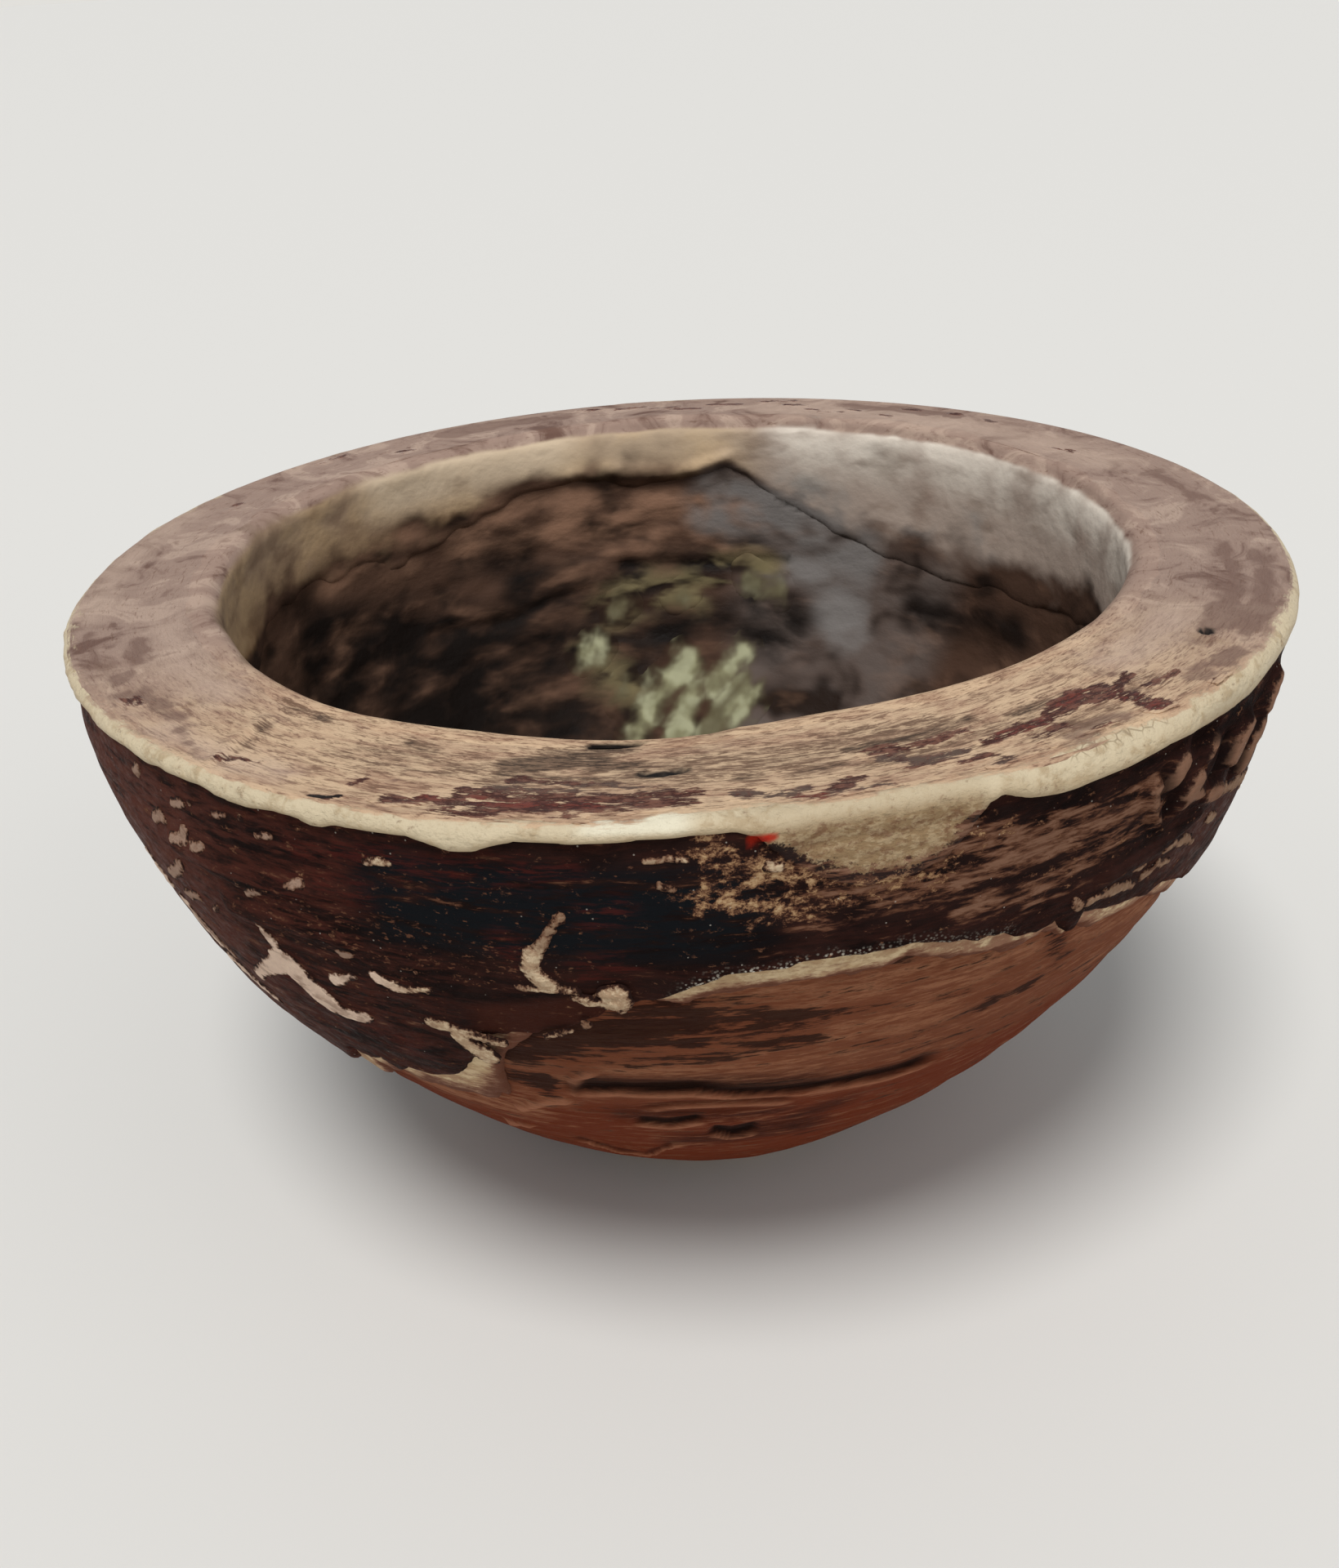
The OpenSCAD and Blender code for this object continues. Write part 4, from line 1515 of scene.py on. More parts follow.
@dataclass
class FibreLayer(Layer):
    """The red-brown fibre on the outside of the wall, with level grooves and ridges."""

    name: str = "fibre_layer_grooved"
    node: str = "fibre_layer"
    slot: str = "fibre"
    columns: Columns = (66, 0.5, 1.5)
    thickness: float | None = 0.7
    bared: float = 57.5
    fine: float = 0.34
    hidden: float = 3.0

    FINISH = FibreFinish()
    LEDGES = (
        Ledge(
            ((-11.4, 38), (-8.2, 38.6), (-1, 38.4), (3.2, 37.1), (8.2, 36.2), (14, 36), (19.4, 35.6),
             (22, 36)), 3.6, 0.5, 3.0,
        ),
        Ledge(((-6.8, 30.9), (-4, 30.5), (-1, 31.5)), 2.8, 0.45, 1.4),
        Ledge(((1.2, 27.2), (3, 25.9), (5.4, 26.4)), 4.2, 0.6, 1.3),
        Ledge(((-5, 35), (-2.6, 35.6), (2, 35.4), (7.6, 34.6)), 1.6, 0.2, 2.0),
        Ledge(((-18, 21), (-14, 18), (-9.8, 16.6), (-4.6, 22.4)), 2.5, 0.25, 2.0),
    )
    RIDGES = sketch(
        (((-12.4, 38), (-11.8, 41), (-10, 42.2)), 0.4), (((-14, 36), (-17, 35), (-20, 32.6)), 0.5),
        (((-22, 27), (-26, 25)), 0.5),
    )
    SHADES = sketch(
        (((-17, 45.6), (-10, 48.6), (-5, 50.4), (0, 51)), 3.0, 1.2), (((-17, 40), (-16, 44)), 2.2),
        (((-2, 48), (5, 47.6), (12, 47.4)), 1.0, 0.6), (((4, 45.6), (10, 45.2)), 0.9),
        (((10.5, 44), (15, 43.7)), 0.8), (((25.5, 51.2), (26.6, 48.8)), 1.0),
        (((31.5, 50.8), (33, 49), (34.6, 47)), 1.5), (((20.5, 47.4), (23.5, 47.2)), 0.6),
        (((27, 44.4),), 1.1), (((31.4, 44.6),), 1.1), (((-8, 46.4), (2, 44.6)), 1.4),
    )
    # painted shade under the skin's torn edge and in a groove
    DEEP_SHADE = sketch(
        (((-13, 47.6), (-7, 48.8), (-1, 49.4)), 2.0, 1.4), (((-15.4, 37.6), (-15.2, 40.6)), 0.7),
        (((-9, 47.4), (-3, 47), (0, 46.4)), 1.0), (((-18.4, 44), (-15, 43.8)), 0.8),
    )
    # painted shade low on the front
    LOW_SHADE = sketch(
        (((-8, 33.4), (0, 33.2), (8, 32)), 0.8), (((4, 28), (9, 29), (15, 31.4)), 1.0),
        (((-2, 25), (5, 26), (12, 26)), 2.2), (((-10, 40.2), (0, 40.4), (10, 38.6)), 0.9),
    )
    RUBS = sketch(
        (((-32, 34), (-26, 33.6), (-20, 33.4)), 3.4),
        (((2, 52.6), (14, 51.6), (22, 51.4), (30, 50)), 1.8, 1.4), (((12, 46), (22, 45.4)), 1.2),
        (((-8, 43), (4, 42.6), (14, 42.4)), 0.8), (((36, 50), (44, 47.5), (52, 44)), 1.6),
        (((-19.4, 42.8), (-15.6, 42), (-12.6, 40.4)), 0.9, 0.5),
        (((-26, 35.4), (-18, 36.4), (-14, 35.4)), 1.2, 0.6), (((19, 50), (26, 49.4)), 1.6),
    )

    def legs(self) -> Legs:
        """Runs up the side, with fine rows only where the fibre is laid bare."""
        shown = self.bowl.side_points(self.bowl.foot_bare, self.bared)
        covered = self.bowl.side_points(self.bared, self.bowl.layer_top)[1:]
        return [(shown, self.fine), (covered, self.hidden)]

    def lift(self, at: Spots) -> Array:
        """Gives the fibre's level grain, its ledges and its ridges, flat where the pale coat covers it."""
        grain = 0.16 * at.noise(31, 20, 1.5) + 0.2 * at.noise(32, 15, 9)
        cut, lit, _ = self.steps(at)
        ridge = 0.4 * smooth(at.inside(self.RIDGES) + 0.25 * at.noise(33, 2.2, 1.0), -0.5, 0.4)
        covered = smooth(Wear(self.bowl).above(at.turn, at.level) + around(at.turn, Wear.STRIP), -0.5, 1.5)
        return self.bowl.fibre_out + (grain - cut + 0.15 * lit + ridge) * (1 - covered) - 0.3 * covered

    def steps(self, at: Spots) -> tuple[Array, Array, Array]:
        """Gives the cut above the ledges in millimetres, and the painted highlight along their edges and the
        painted shade above them from 0 to 1.
        """
        cut, lit, shade = np.zeros((3, *at.turn.shape))
        fray = 0.16 * at.noise(34, 5.0, 2.0)
        for ledge in self.LEDGES:
            turns, levels = zip(*ledge.edge)
            above = at.level - np.interp(at.turn, turns, levels) + fray
            part = window(at.turn, turns[0], turns[-1], ledge.ease)
            here = smooth(above, -0.4, 0.3) * (1 - smooth(above, 0.4, ledge.span))
            cut = np.maximum(cut, ledge.deep * part * here)
            lit = np.maximum(lit, part * np.exp(-((above + 0.5) / 0.35) ** 2))
            dark = min(1.0, ledge.deep / 0.45) * part * smooth(above, -0.25, 0.1)
            shade = np.maximum(shade, dark * (1 - smooth(above, 0.3, ledge.span)))
        return cut, lit, shade

    def marks(self, at: Spots) -> Marks:
        """Gives the fibre's dark streaks with painted shade under the tear, its pale ridges with a painted
        highlight on the ledges' edges, its rubbed parts, the painted shade in its cuts and low on the front,
        and its part towards the foot, painted darker and redder as painted shade.
        """
        fray = 0.35 * at.noise(33, 2.6, 0.9)
        _, lit, shade = self.steps(at)
        shades = 0.58 * smooth(at.inside(self.SHADES) + 2 * fray, -2.2, 1.4)
        front = window(at.turn, -30, 8, 14)
        streaky = 0.22 + front * (0.08 * smooth(at.level, 38, 42) + 0.26 * smooth(at.level, 45, 48))
        low = smooth(-at.level, -41, -33)
        rub = smooth(at.inside(self.RUBS) + 2 * fray, -1.8, 1.5)
        # dark streaks and painted shade, less where the fibre is rubbed
        worn = np.maximum(shades, streaky * (1 - 0.6 * low)) * (1 - 0.6 * rub)
        return {
            # dark streaks, with painted shade under the skin's torn edge
            "dark": np.maximum(worn, 0.95 * smooth(at.inside(self.DEEP_SHADE) + 2 * fray, -1.6, 1.0)),
            # painted shade above the ledges
            "cut": shade,
            # painted shade low on the front
            "dusk": 0.8 * smooth(at.inside(self.LOW_SHADE) + fray, -2.4, 1.4),
            # painted highlight on the ledges' edges, and the pale ridges
            "pale": np.maximum(0.8 * lit, 0.7 * smooth(at.inside(self.RIDGES) + fray, -0.4, 0.35)),
            "rub": 0.85 * rub,
            # darker and redder towards the foot: painted shade
            "low": low,
        }


@dataclass
class GroundCoat(Layer):
    """The pale coat between the fibre and the skin, seen as a strip along the tear."""

    name: str = "ground_coat_torn"
    node: str = "ground_coat"
    slot: str = "ground"
    columns: Columns = (66, 0.45, 1.6)
    thickness: float | None = 0.45
    fine: float = 0.5

    FINISH = GroundFinish()

    def inside(self, at: Spots) -> Array:
        """Gives the coat's edge, a strip's width below the skin's."""
        edge = Wear(self.bowl).above(at.turn, at.level) + around(at.turn, Wear.STRIP)
        return edge + 0.8 * Wear.ragged(at.turn + 40, at.level)

    def lift(self, at: Spots) -> Array:
        """Gives the coat's rounded edge and its face, a little lower where the skin covers it."""
        covered = smooth(Wear(self.bowl).above(at.turn, at.level), 0.6, 1.8)
        full = self.bowl.ground_out - self.bowl.fibre_out + 0.1 * at.noise(41, 5, 2.5)
        return self.bowl.fibre_out - 0.1 + crown(at.depth, full + 0.1, 1.3) - 0.25 * covered

    def marks(self, at: Spots) -> Marks:
        """Gives the pink parts and the thin edge."""
        return {
            "pink": np.maximum(window(at.turn, 24, 100, 14), 0.5 * window(at.turn, -100, -30, 10)),
            "feather": 1 - smooth(at.depth, 0.0, 1.5 + 2.5 * window(at.turn, -34, -11, 3)),
        }


@dataclass
class DarkSkin(Layer):
    """The near-black outer skin, torn away low on the front."""

    name: str = "dark_skin_torn"
    node: str = "dark_skin"
    slot: str = "skin"
    columns: Columns = (67, 0.45, 1.6)
    thickness: float | None = 0.5
    fine: float = 0.55

    FINISH = SkinFinish()

    def inside(self, at: Spots) -> Array:
        """Gives the torn edge."""
        return Wear(self.bowl).above(at.turn, at.level) + Wear.ragged(at.turn, at.level)

    def lift(self, at: Spots) -> Array:
        """Gives the skin's face, with a rounded torn edge that is beaded at the front and thin left of it."""
        bead = 0.22 * np.exp(-((at.depth - 0.7) / 0.5) ** 2) * window(at.turn, 0, 28, 6)
        thin = 1 - 0.75 * window(at.turn, -17, -5, 3) * (1 - smooth(at.depth, 0, 5))
        full = (self.bowl.skin_out - self.bowl.ground_out + 0.15) * thin + bead
        relief = Relief.skin(at.turn, at.level, at.radius) * smooth(at.depth, 0, 2)
        covered = smooth(at.level - around(at.turn, RimLip.LOW), 0.6, 1.8)
        return self.bowl.ground_out - 0.15 + crown(at.depth, full, 0.8) + relief - 0.35 * covered

    def marks(self, at: Spots) -> Marks:
        """Gives the skin's tones and the part of its torn edge that carries painted glints."""
        found = SkinTone.marks(at.turn, at.level, at.radius)
        edge = 1 - smooth(at.depth, 0.4, 1.5)
        # where the painted glints go, along the torn edge at the front
        found["painted_glint"] = (0.4 * window(at.turn, 0, 24, 3) + 0.6 * window(at.turn, 0, 12, 2)) * edge
        return found


@dataclass
class PaleScabs(Layer):
    """Raised pale patches on the skin: the curl and its blister, torn-looking crusts and many small ones."""

    name: str = "pale_scabs_raised"
    node: str = "pale_scabs"
    slot: str = "scab"
    columns: Columns = (52, 0.17, 0.5)
    thickness: float | None = 0.35
    fine: float = 0.18
    coarse: float = 0.4
    low: float = 14.0
    bared: float = 44.0
    behind_count: int = 46

    FINISH = ScabFinish()
    CURL = sketch(
        (((-9.4, 62.8), (-10.5, 61.2), (-11.6, 59.2)), 0.35, 0.5),
        (((-11.9, 59), (-12.3, 57.4), (-11.4, 56)), 0.75, 0.9),
        (((-13.4, 55), (-11.5, 55.2), (-9.2, 54.9)), 0.3, 0.42),
        (((-9.4, 54.4), (-7.5, 53.8), (-6, 52.9)), 0.4, 0.35),
        (((-6.8, 54.9), (-5.8, 54.8), (-5.8, 53.8), (-6.6, 54)), 0.8),
    )
    CRUSTS = sketch(
        (((-37, 56.2), (-36.8, 55), (-36.4, 53.5), (-36, 52.2)), 0.3, 1.0),
        (((-36, 52), (-37.5, 51), (-39.5, 49.8), (-41.5, 48.2), (-44, 46.4)), 1.5, 0.6),
        (((-36.6, 51.4), (-34.8, 49), (-33.4, 47.4)), 1.8, 1.4),
        (((-34.4, 47.4), (-32.4, 46.7), (-30.8, 46.7), (-29.8, 47)), 1.3, 0.7),
        (((-22.4, 48.6), (-20.5, 48.2), (-18.5, 47.8), (-16.4, 47.6)), 0.7, 0.35),
        (((-20.6, 48), (-19.8, 46.4), (-18.4, 45)), 0.8, 1.0),
        (((-50.4, 44.8), (-48, 43.2), (-45, 42)), 0.9, 0.5),
        (((-53.6, 50.6), (-52.2, 48.4), (-51, 46.8)), 1.0), (((-57, 54.6), (-55.4, 52.4)), 0.9),
        (((-24, 65.9), (-23, 66.2), (-21.9, 66.3)), 0.3, 0.25),
        (((-26, 53.6), (-25, 53), (-23.6, 52.8), (-22, 53.2), (-21.3, 53.5)), 0.7, 0.4),
        (((-31.2, 51.5), (-30, 52.2), (-28.6, 52.9)), 0.5, 0.4),
        (((-3.2, 67.8), (-1.5, 68.1), (-0.4, 67.9)), 0.3, 0.35), (((5.3, 66.7), (6, 66.6)), 0.55),
        (((-12.4, 49.1), (-10.2, 50)), 0.3),
    )
    DIM = sketch(
        (((-28.7, 55.5), (-28.2, 55.6)), 0.6), (((-22, 55.3),), 0.35), (((-44, 66), (-42.6, 66.4)), 0.4),
        (((-41.5, 66.7),), 0.35), (((-48.6, 62.8), (-47.2, 63.6)), 0.75),
        (((-45.6, 62), (-44, 62.6), (-43.6, 63.4)), 0.45), (((-42.6, 62.2), (-41.4, 62.7)), 0.45),
        (((-37.6, 60.4),), 0.35), (((-37, 59.6), (-35.4, 60.3)), 0.3), (((-32, 62.1), (-30.2, 62.7)), 0.3),
        (((-49.6, 67), (-49, 67.6)), 0.5), (((-38.6, 66.6), (-37.4, 67)), 0.4), (((-35.4, 67.3),), 0.35),
        (((-33.8, 66.1), (-32.8, 66.4)), 0.35), (((-50.5, 55.8), (-48.5, 57), (-46.8, 58.6)), 0.6),
        (((-49.4, 54), (-46.4, 55.2)), 0.45), (((-43.8, 55), (-43, 55.7)), 0.35),
        (((-51.6, 49.6), (-48.6, 46.6)), 0.7),
        (((32.4, 55.7), (35, 55.7), (36.8, 55.2), (38.2, 54.4)), 0.6, 0.4),
        (((30.6, 56.6), (31.4, 55.6)), 0.4),
        (((42.3, 56.8), (44.5, 56.2), (46.2, 55.4), (47.8, 54.3)), 0.65, 0.4),
        (((50.2, 59.2), (52, 58), (55, 57.2), (60, 55.2), (65, 52)), 0.5, 0.9),
        (((39.6, 54.8), (41.5, 55), (43.6, 54.4)), 0.5), (((37.4, 56.7), (38.4, 56.4)), 0.35),
        (((49.6, 56), (51.6, 55)), 0.6), (((-9, 51),), 0.4), (((-2.2, 65.8), (-1.4, 65.4)), 0.3),
    )

    def __post_init__(self) -> None:
        """Draws the patches that the front doesn't show, like those that it does."""
        super().__post_init__()
        draw = np.random.default_rng(62)
        found = []
        for _ in range(self.behind_count):
            turn = draw.uniform(74, 286)
            low = max(float(around(np.array(turn), Wear.EDGE)) + 5, self.low + 4)
            level = draw.uniform(low, 66)
            ends = ((turn, level), (turn + draw.uniform(0.6, 3.2), level + draw.uniform(-1.2, 1.2)))
            found.append(Stroke(ends, draw.uniform(0.3, 0.8), 0.3))
        self.all = self.CURL + self.CRUSTS + self.DIM + tuple(found)

    def legs(self) -> Legs:
        """Runs up the side, from below the lowest patch to under the lip."""
        low = self.bowl.side_points(self.low, self.bared)
        return [(low, self.coarse), (self.bowl.side_points(self.bared, self.bowl.layer_top)[1:], self.fine)]

    def inside(self, at: Spots) -> Array:
        """Gives the patches' ragged outlines."""
        ragged = 0.24 * at.noise(61, 1.8, 1.2) + 0.14 * at.noise(64, 0.5, 0.4)
        return at.inside(self.all) + 0.12 + ragged

    def lift(self, at: Spots) -> Array:
        """Gives the patches' crumbly domes, which stand on the skin's own relief."""
        base = self.bowl.skin_out - 0.12 + Relief.skin(at.turn, at.level, at.radius)
        tall = 0.25 * smooth(at.inside(self.CURL), 0.1, 0.8)
        return base + crown(at.depth, 0.26 + tall + 0.06 * at.noise(63, 0.7, 0.5), 0.4)

    def marks(self, at: Spots) -> Marks:
        """Gives the patches' depth inside their borders, the dimmer patches and the painted light on those at
        the left.
        """
        tip = window(at.turn, -13, -8, 1) * smooth(at.level, 58.5, 61)
        dim = np.maximum(smooth(at.inside(self.DIM), -0.8, 0.0), tip)
        # painted light on the patches at the left
        return {"deep": smooth(at.depth, -0.15, 0.8), "dim": dim, "painted_light_left": window(at.turn, -70, -27, 5)}


@dataclass
class RimLip(Layer):
    """The cream bead round the rim's outer edge, with drips, a run over the skin and a ragged inner edge."""

    name: str = "rim_lip_bead"
    node: str = "rim_lip"
    slot: str = "lip"
    columns: Columns = (70, 0.4, 1.1)
    thickness: float | None = 0.6
    fine: float = 0.3
    low: float = 61.5
    inner: float = 60.0
    bead: float = 1.3

    FINISH = LipFinish()
    SPILL = (5, 20)
    LOW = (
        (-180, 69.2), (-160, 69.6), (-140, 68.8), (-120, 69.5), (-100, 69), (-85, 69.5), (-70, 69.2),
        (-60, 69.6), (-52, 69.2), (-45, 69.2), (-40, 69.1), (-37, 68.9), (-34, 68.6), (-31, 69.1),
        (-28.4, 68.8), (-26.8, 68.5), (-25.4, 69), (-20, 69.2), (-18.2, 68.7), (-16.8, 68.2), (-15, 68.2),
        (-13.6, 68.9), (-12, 69.4), (-8, 69.5), (-4, 69.7), (0, 70), (3, 70.1), (4.4, 69.4), (5.4, 68),
        (7, 66.4), (9, 65), (12, 63.8), (15, 63.8), (18, 64.8), (20, 66.6), (21.2, 69), (22.2, 69.5),
        (23.2, 69), (24.4, 68.5), (27, 68.1), (31, 68), (35, 68.2), (38, 68.5), (40, 68.3), (44, 67.6),
        (52, 67.4), (60, 68), (75, 68.9), (95, 68.3), (115, 69.2), (135, 68.6), (155, 69.3),
    )
    INNER = (
        (-180, 64), (-150, 63.6), (-120, 64.3), (-90, 63.8), (-70, 64.3), (-55, 64.4), (-45, 64.2),
        (-36, 64.3), (-29, 64.5), (-22, 64.6), (-15, 64.4), (-8, 64.1), (-3, 63.2), (1, 62.4), (5, 62.3),
        (8, 62.6), (10, 63), (13, 63), (15.5, 62.8), (20, 62.8), (23, 63.6), (26, 63.2), (29, 63), (34, 63),
        (37, 64), (42, 64.4), (48, 64.6), (56, 64.6), (64, 64), (85, 64.3), (110, 63.7), (140, 64.2),
    )

    def legs(self) -> Legs:
        """Runs up over the skin, round the bead and inwards on the rim."""
        return [(self.bowl.lip_points(self.low, self.inner, self.bead), self.fine)]

    def drawn(self, turn: Array) -> Array:
        """Gives how far the bead's side is drawn in, in millimetres, where it has run down over the skin."""
        return 0.5 * smooth(-around(turn, self.LOW), -66.8, -65)

    def swell(self, turn: Array, along: Array) -> Array:
        """Draws the outside in where the bead has run down over the skin."""
        return -self.drawn(turn) * smooth(self.course.radius(along), 63, 64.4)

    def edges(self, at: Spots) -> tuple[Array, Array]:
        """Measures how far each place lies inside the bead's lower edge and inside its inner one."""
        points, length = self.course.points, self.course.length
        climb = int(np.argmax(points[:, 1]))
        low = np.interp(around(at.turn, self.LOW), points[:climb, 1], length[:climb])
        inner = np.interp(-around(at.turn, self.INNER), -points[climb:, 0], length[climb:])
        wavy = 0.2 * at.noise(71, 3.5, 3) + 0.25 * window(at.turn, 4, 20, 2) * at.noise(73, 2.4, 1.4)
        wavy += 0.3 * window(at.turn, -80, -26, 6) * at.noise(75, 1.8, 1.6)
        jagged = 0.4 * at.noise(72, 2.0, 1.0) + 0.25 * at.noise(71, 0.9, 0.6)
        return at.along - low + wavy, inner - at.along + jagged + 0.5

    def inside(self, at: Spots) -> Array:
        """Gives the bead's outline."""
        return np.minimum(*self.edges(at))

    def lift(self, at: Spots) -> Array:
        """Gives the bead's rounded section, thin where it runs over the skin and heavy right of that."""
        below, within = self.edges(at)
        bead = smooth(at.level, 67.0, 68.4)
        heavy = window(at.turn, 24, 40, 4) + 0.4 * window(at.turn, -18, -14, 2)
        left = window(at.turn, -80, -26, 8)
        uneven = 0.14 * at.noise(74, 9, 6) + (0.05 + 0.07 * left) * at.noise(72, 2, 1.2)
        roll = 0.5 * heavy * np.exp(-((np.maximum(below, 0) - 0.9) / 0.9) ** 2)
        thick = crown(below, 0.7, 0.9) - 0.7
        film = self.drawn(at.turn) + crown(below, 0.28, 0.9) - 0.16
        film += Relief.skin(at.turn, at.level, self.bowl.skin_r)
        outer = bead * (thick + roll + uneven * smooth(below, 0, 1)) + (1 - bead) * film
        flat = smooth(at.level, self.bowl.rim_top - 0.8, self.bowl.rim_top - 0.1)
        flat *= 1 - smooth(at.radius, 63.2, 64.4)
        top = Relief.rim(at.turn, at.radius) + crown(within, 0.09, 1.0) - 0.04
        return flat * top + (1 - flat) * outer

    def marks(self, at: Spots) -> Marks:
        """Gives the bead's underside with its painted shade, its run over the skin, its crackled part, its
        painted highlight and its ragged borders.
        """
        below, within = self.edges(at)
        bead = smooth(at.level, 67.4, 68.6)
        found = RimTone.marks(at.turn, at.radius)
        found.update(SkinTone.marks(at.turn, at.level, self.bowl.skin_r))
        # painted shade along the bead's underside, wider at the right
        found["under"] = 1 - smooth(below, 0.0, 1.3 + 1.2 * window(at.turn, 24, 80, 4))
        found["spill"] = window(at.turn, *self.SPILL, 2) * (1 - 0.8 * smooth(at.level, 69.4, 71))
        run = smooth(below, -0.4, 5.0) * window(at.turn, 8.5, 17.5, 5)
        top = np.maximum(bead * (1 - window(at.turn, 4, 21, 1)), smooth(at.level, 68.4, 69.8))
        found["film"] = np.maximum(top, run)
        found["inner"] = np.where(at.level > self.bowl.rim_top - 0.4, smooth(within, 0.0, 2.6), 1)
        found["crackle"] = window(at.turn, 29, 38, 2) * smooth(at.level, 70.4, 70.9)
        # painted highlight at the front of the bead's top
        found["painted_highlight"] = window(at.turn, -6.5, -1, 2) * smooth(at.level, 70.2, 70.7)
        return found


@dataclass
class RimFlakes(Layer):
    """Dark red islands of skin left flush in the rim."""

    name: str = "rim_flakes_islands"
    node: str = "rim_flakes"
    slot: str = "flake"
    columns: Columns = (62, 0.25, 0.5)
    thickness: float | None = 0.3
    fine: float = 0.26
    outer: float = 65.2
    inner: float = 53.0
    behind_count: int = 18

    FINISH = FlakeFinish()
    ISLANDS = sketch(
        (((-22.6, 62.4), (-21, 62), (-19, 60.8)), 0.7, 0.5),
        (((-18, 61.6), (-12, 61.6), (-5, 61.3), (0.5, 61.1)), 0.9, 0.8),
        (((-17, 60), (-10, 60), (-3, 59.8), (0.5, 60)), 1.2, 0.9),
        (((-18.6, 63.4), (-16.4, 63.2), (-14, 63)), 0.35), (((-9.4, 63.4), (-8, 63.4)), 0.35),
        (((-16, 58.4), (-9, 58.8), (-2, 58.2)), 0.4, 0.2),
        (((3.4, 60.6), (6, 60.9), (8.6, 60.5)), 0.65, 0.45), (((7.4, 62.4), (10, 61.8)), 0.6, 0.5),
        (((10.6, 62.2), (14.4, 62.2)), 0.5), (((10.8, 61.4), (12.4, 60), (13.6, 59.8)), 0.8, 0.6),
        (((28, 60.6), (31, 60.2)), 0.6), (((40, 57.6), (43, 57.2)), 0.6),
        (((16, 57.6), (19, 59.6), (22, 59.4)), 0.9, 0.6), (((15.5, 56), (19.5, 56.6), (24, 56.2)), 0.7, 0.5),
        (((21, 61), (23.4, 60.8), (24.4, 62)), 0.5), (((22.6, 62.8), (23.2, 62.6)), 0.4),
        (((25.4, 63.4), (26, 62.8)), 0.45), (((28.2, 63.7),), 0.5),
        (((24.8, 58.8), (28, 58.4), (33, 58.2)), 0.8), (((32, 57.8), (36, 57.2), (39, 58)), 1.3, 1.5),
        (((38.6, 58.6), (39.2, 60.4), (39.2, 62), (39, 63)), 1.5, 1.1), (((-14, 57.2), (-6, 57.4)), 0.5),
        (((31, 62.3), (34, 62.2)), 0.4), (((-39, 62.4), (-37.4, 61.4), (-35.6, 61)), 0.35, 0.25),
        (((-26.4, 61), (-25.8, 59.8)), 0.35), (((-55.5, 61.6), (-54, 61.2)), 0.7),
        (((42, 59.6), (46, 60.4)), 0.4), (((46, 63.6), (47.4, 63.8)), 0.4),
    )
    CRIMSON = sketch(
        (((38.8, 59.6), (39.2, 61.4), (39, 63)), 1.0), (((34, 57), (37, 56.6)), 0.6),
        (((7.6, 62.4), (9.4, 62)), 0.5), (((-20.4, 61.2), (-18.8, 60.6)), 0.6),
        (((25.5, 58.7), (31, 58.4)), 0.5), (((-16, 61.2), (-6, 61.2)), 0.5),
    )
    GREY = sketch(
        (((3.4, 60.6), (6, 60.9), (8.6, 60.5)), 0.9), (((16, 57.6), (19, 59.4), (22, 59)), 0.9),
        (((10.6, 62.2), (14.4, 62.2)), 0.6), (((-18, 58), (-2, 58.4)), 0.8),
        (((22.6, 62.8), (25.8, 63)), 0.8),
    )
    BLACK = sketch((((-28, 63.9), (-27, 63.6), (-26, 63)), 0.34, 0.2))

    def __post_init__(self) -> None:
        """Draws islands along the sides and the back, like those at the front."""
        super().__post_init__()
        draw = np.random.default_rng(83)
        found = []
        for _ in range(self.behind_count):
            turn, level = draw.uniform(112, 248), draw.uniform(57, 62.6)
            ends = ((turn, level), (turn + draw.uniform(0.8, 4.5), level + draw.uniform(-0.6, 0.6)))
            found.append(Stroke(ends, draw.uniform(0.3, 0.7), 0.3))
        self.all = self.ISLANDS + self.BLACK + tuple(found)

    def legs(self) -> Legs:
        """Runs over the rim, from outside inwards."""
        return [(self.bowl.rim_points(self.outer, self.inner), self.fine)]

    def inside(self, at: Spots) -> Array:
        """Gives the islands' ragged outlines, a little past the colour's own."""
        ragged = 0.45 * at.noise(81, 2.4, 0.9) + 0.25 * at.noise(82, 0.9, 0.6)
        clear = around(at.turn, RimLip.INNER) - 0.3 - at.radius
        return np.minimum(at.on_rim(self.all) + 0.5, clear) + ragged

    def lift(self, at: Spots) -> Array:
        """Gives the islands' faces, which follow the rim's and the lip's relief."""
        relief = Relief.rim(at.turn, at.radius) + 0.06 * smooth(at.radius, 61.6, 62.4)
        return relief - 0.03 + crown(at.depth, 0.08 + 0.03 * at.noise(82, 1.1, 0.6), 0.5)

    def marks(self, at: Spots) -> Marks:
        """Gives the islands' depth inside their borders and their crimson, grey and black parts."""
        fray = 0.4 * at.noise(81, 2.0, 1.0)
        found = RimTone.marks(at.turn, at.radius)
        found["deep"] = smooth(at.depth, 0.0, 1.0)
        found["crimson"] = smooth(at.on_rim(self.CRIMSON) + fray, -0.6, 0.4)
        found["grey"] = smooth(at.on_rim(self.GREY) + fray, -0.6, 0.4)
        found["black"] = smooth(at.on_rim(self.BLACK), -0.2, 0.05)
        return found


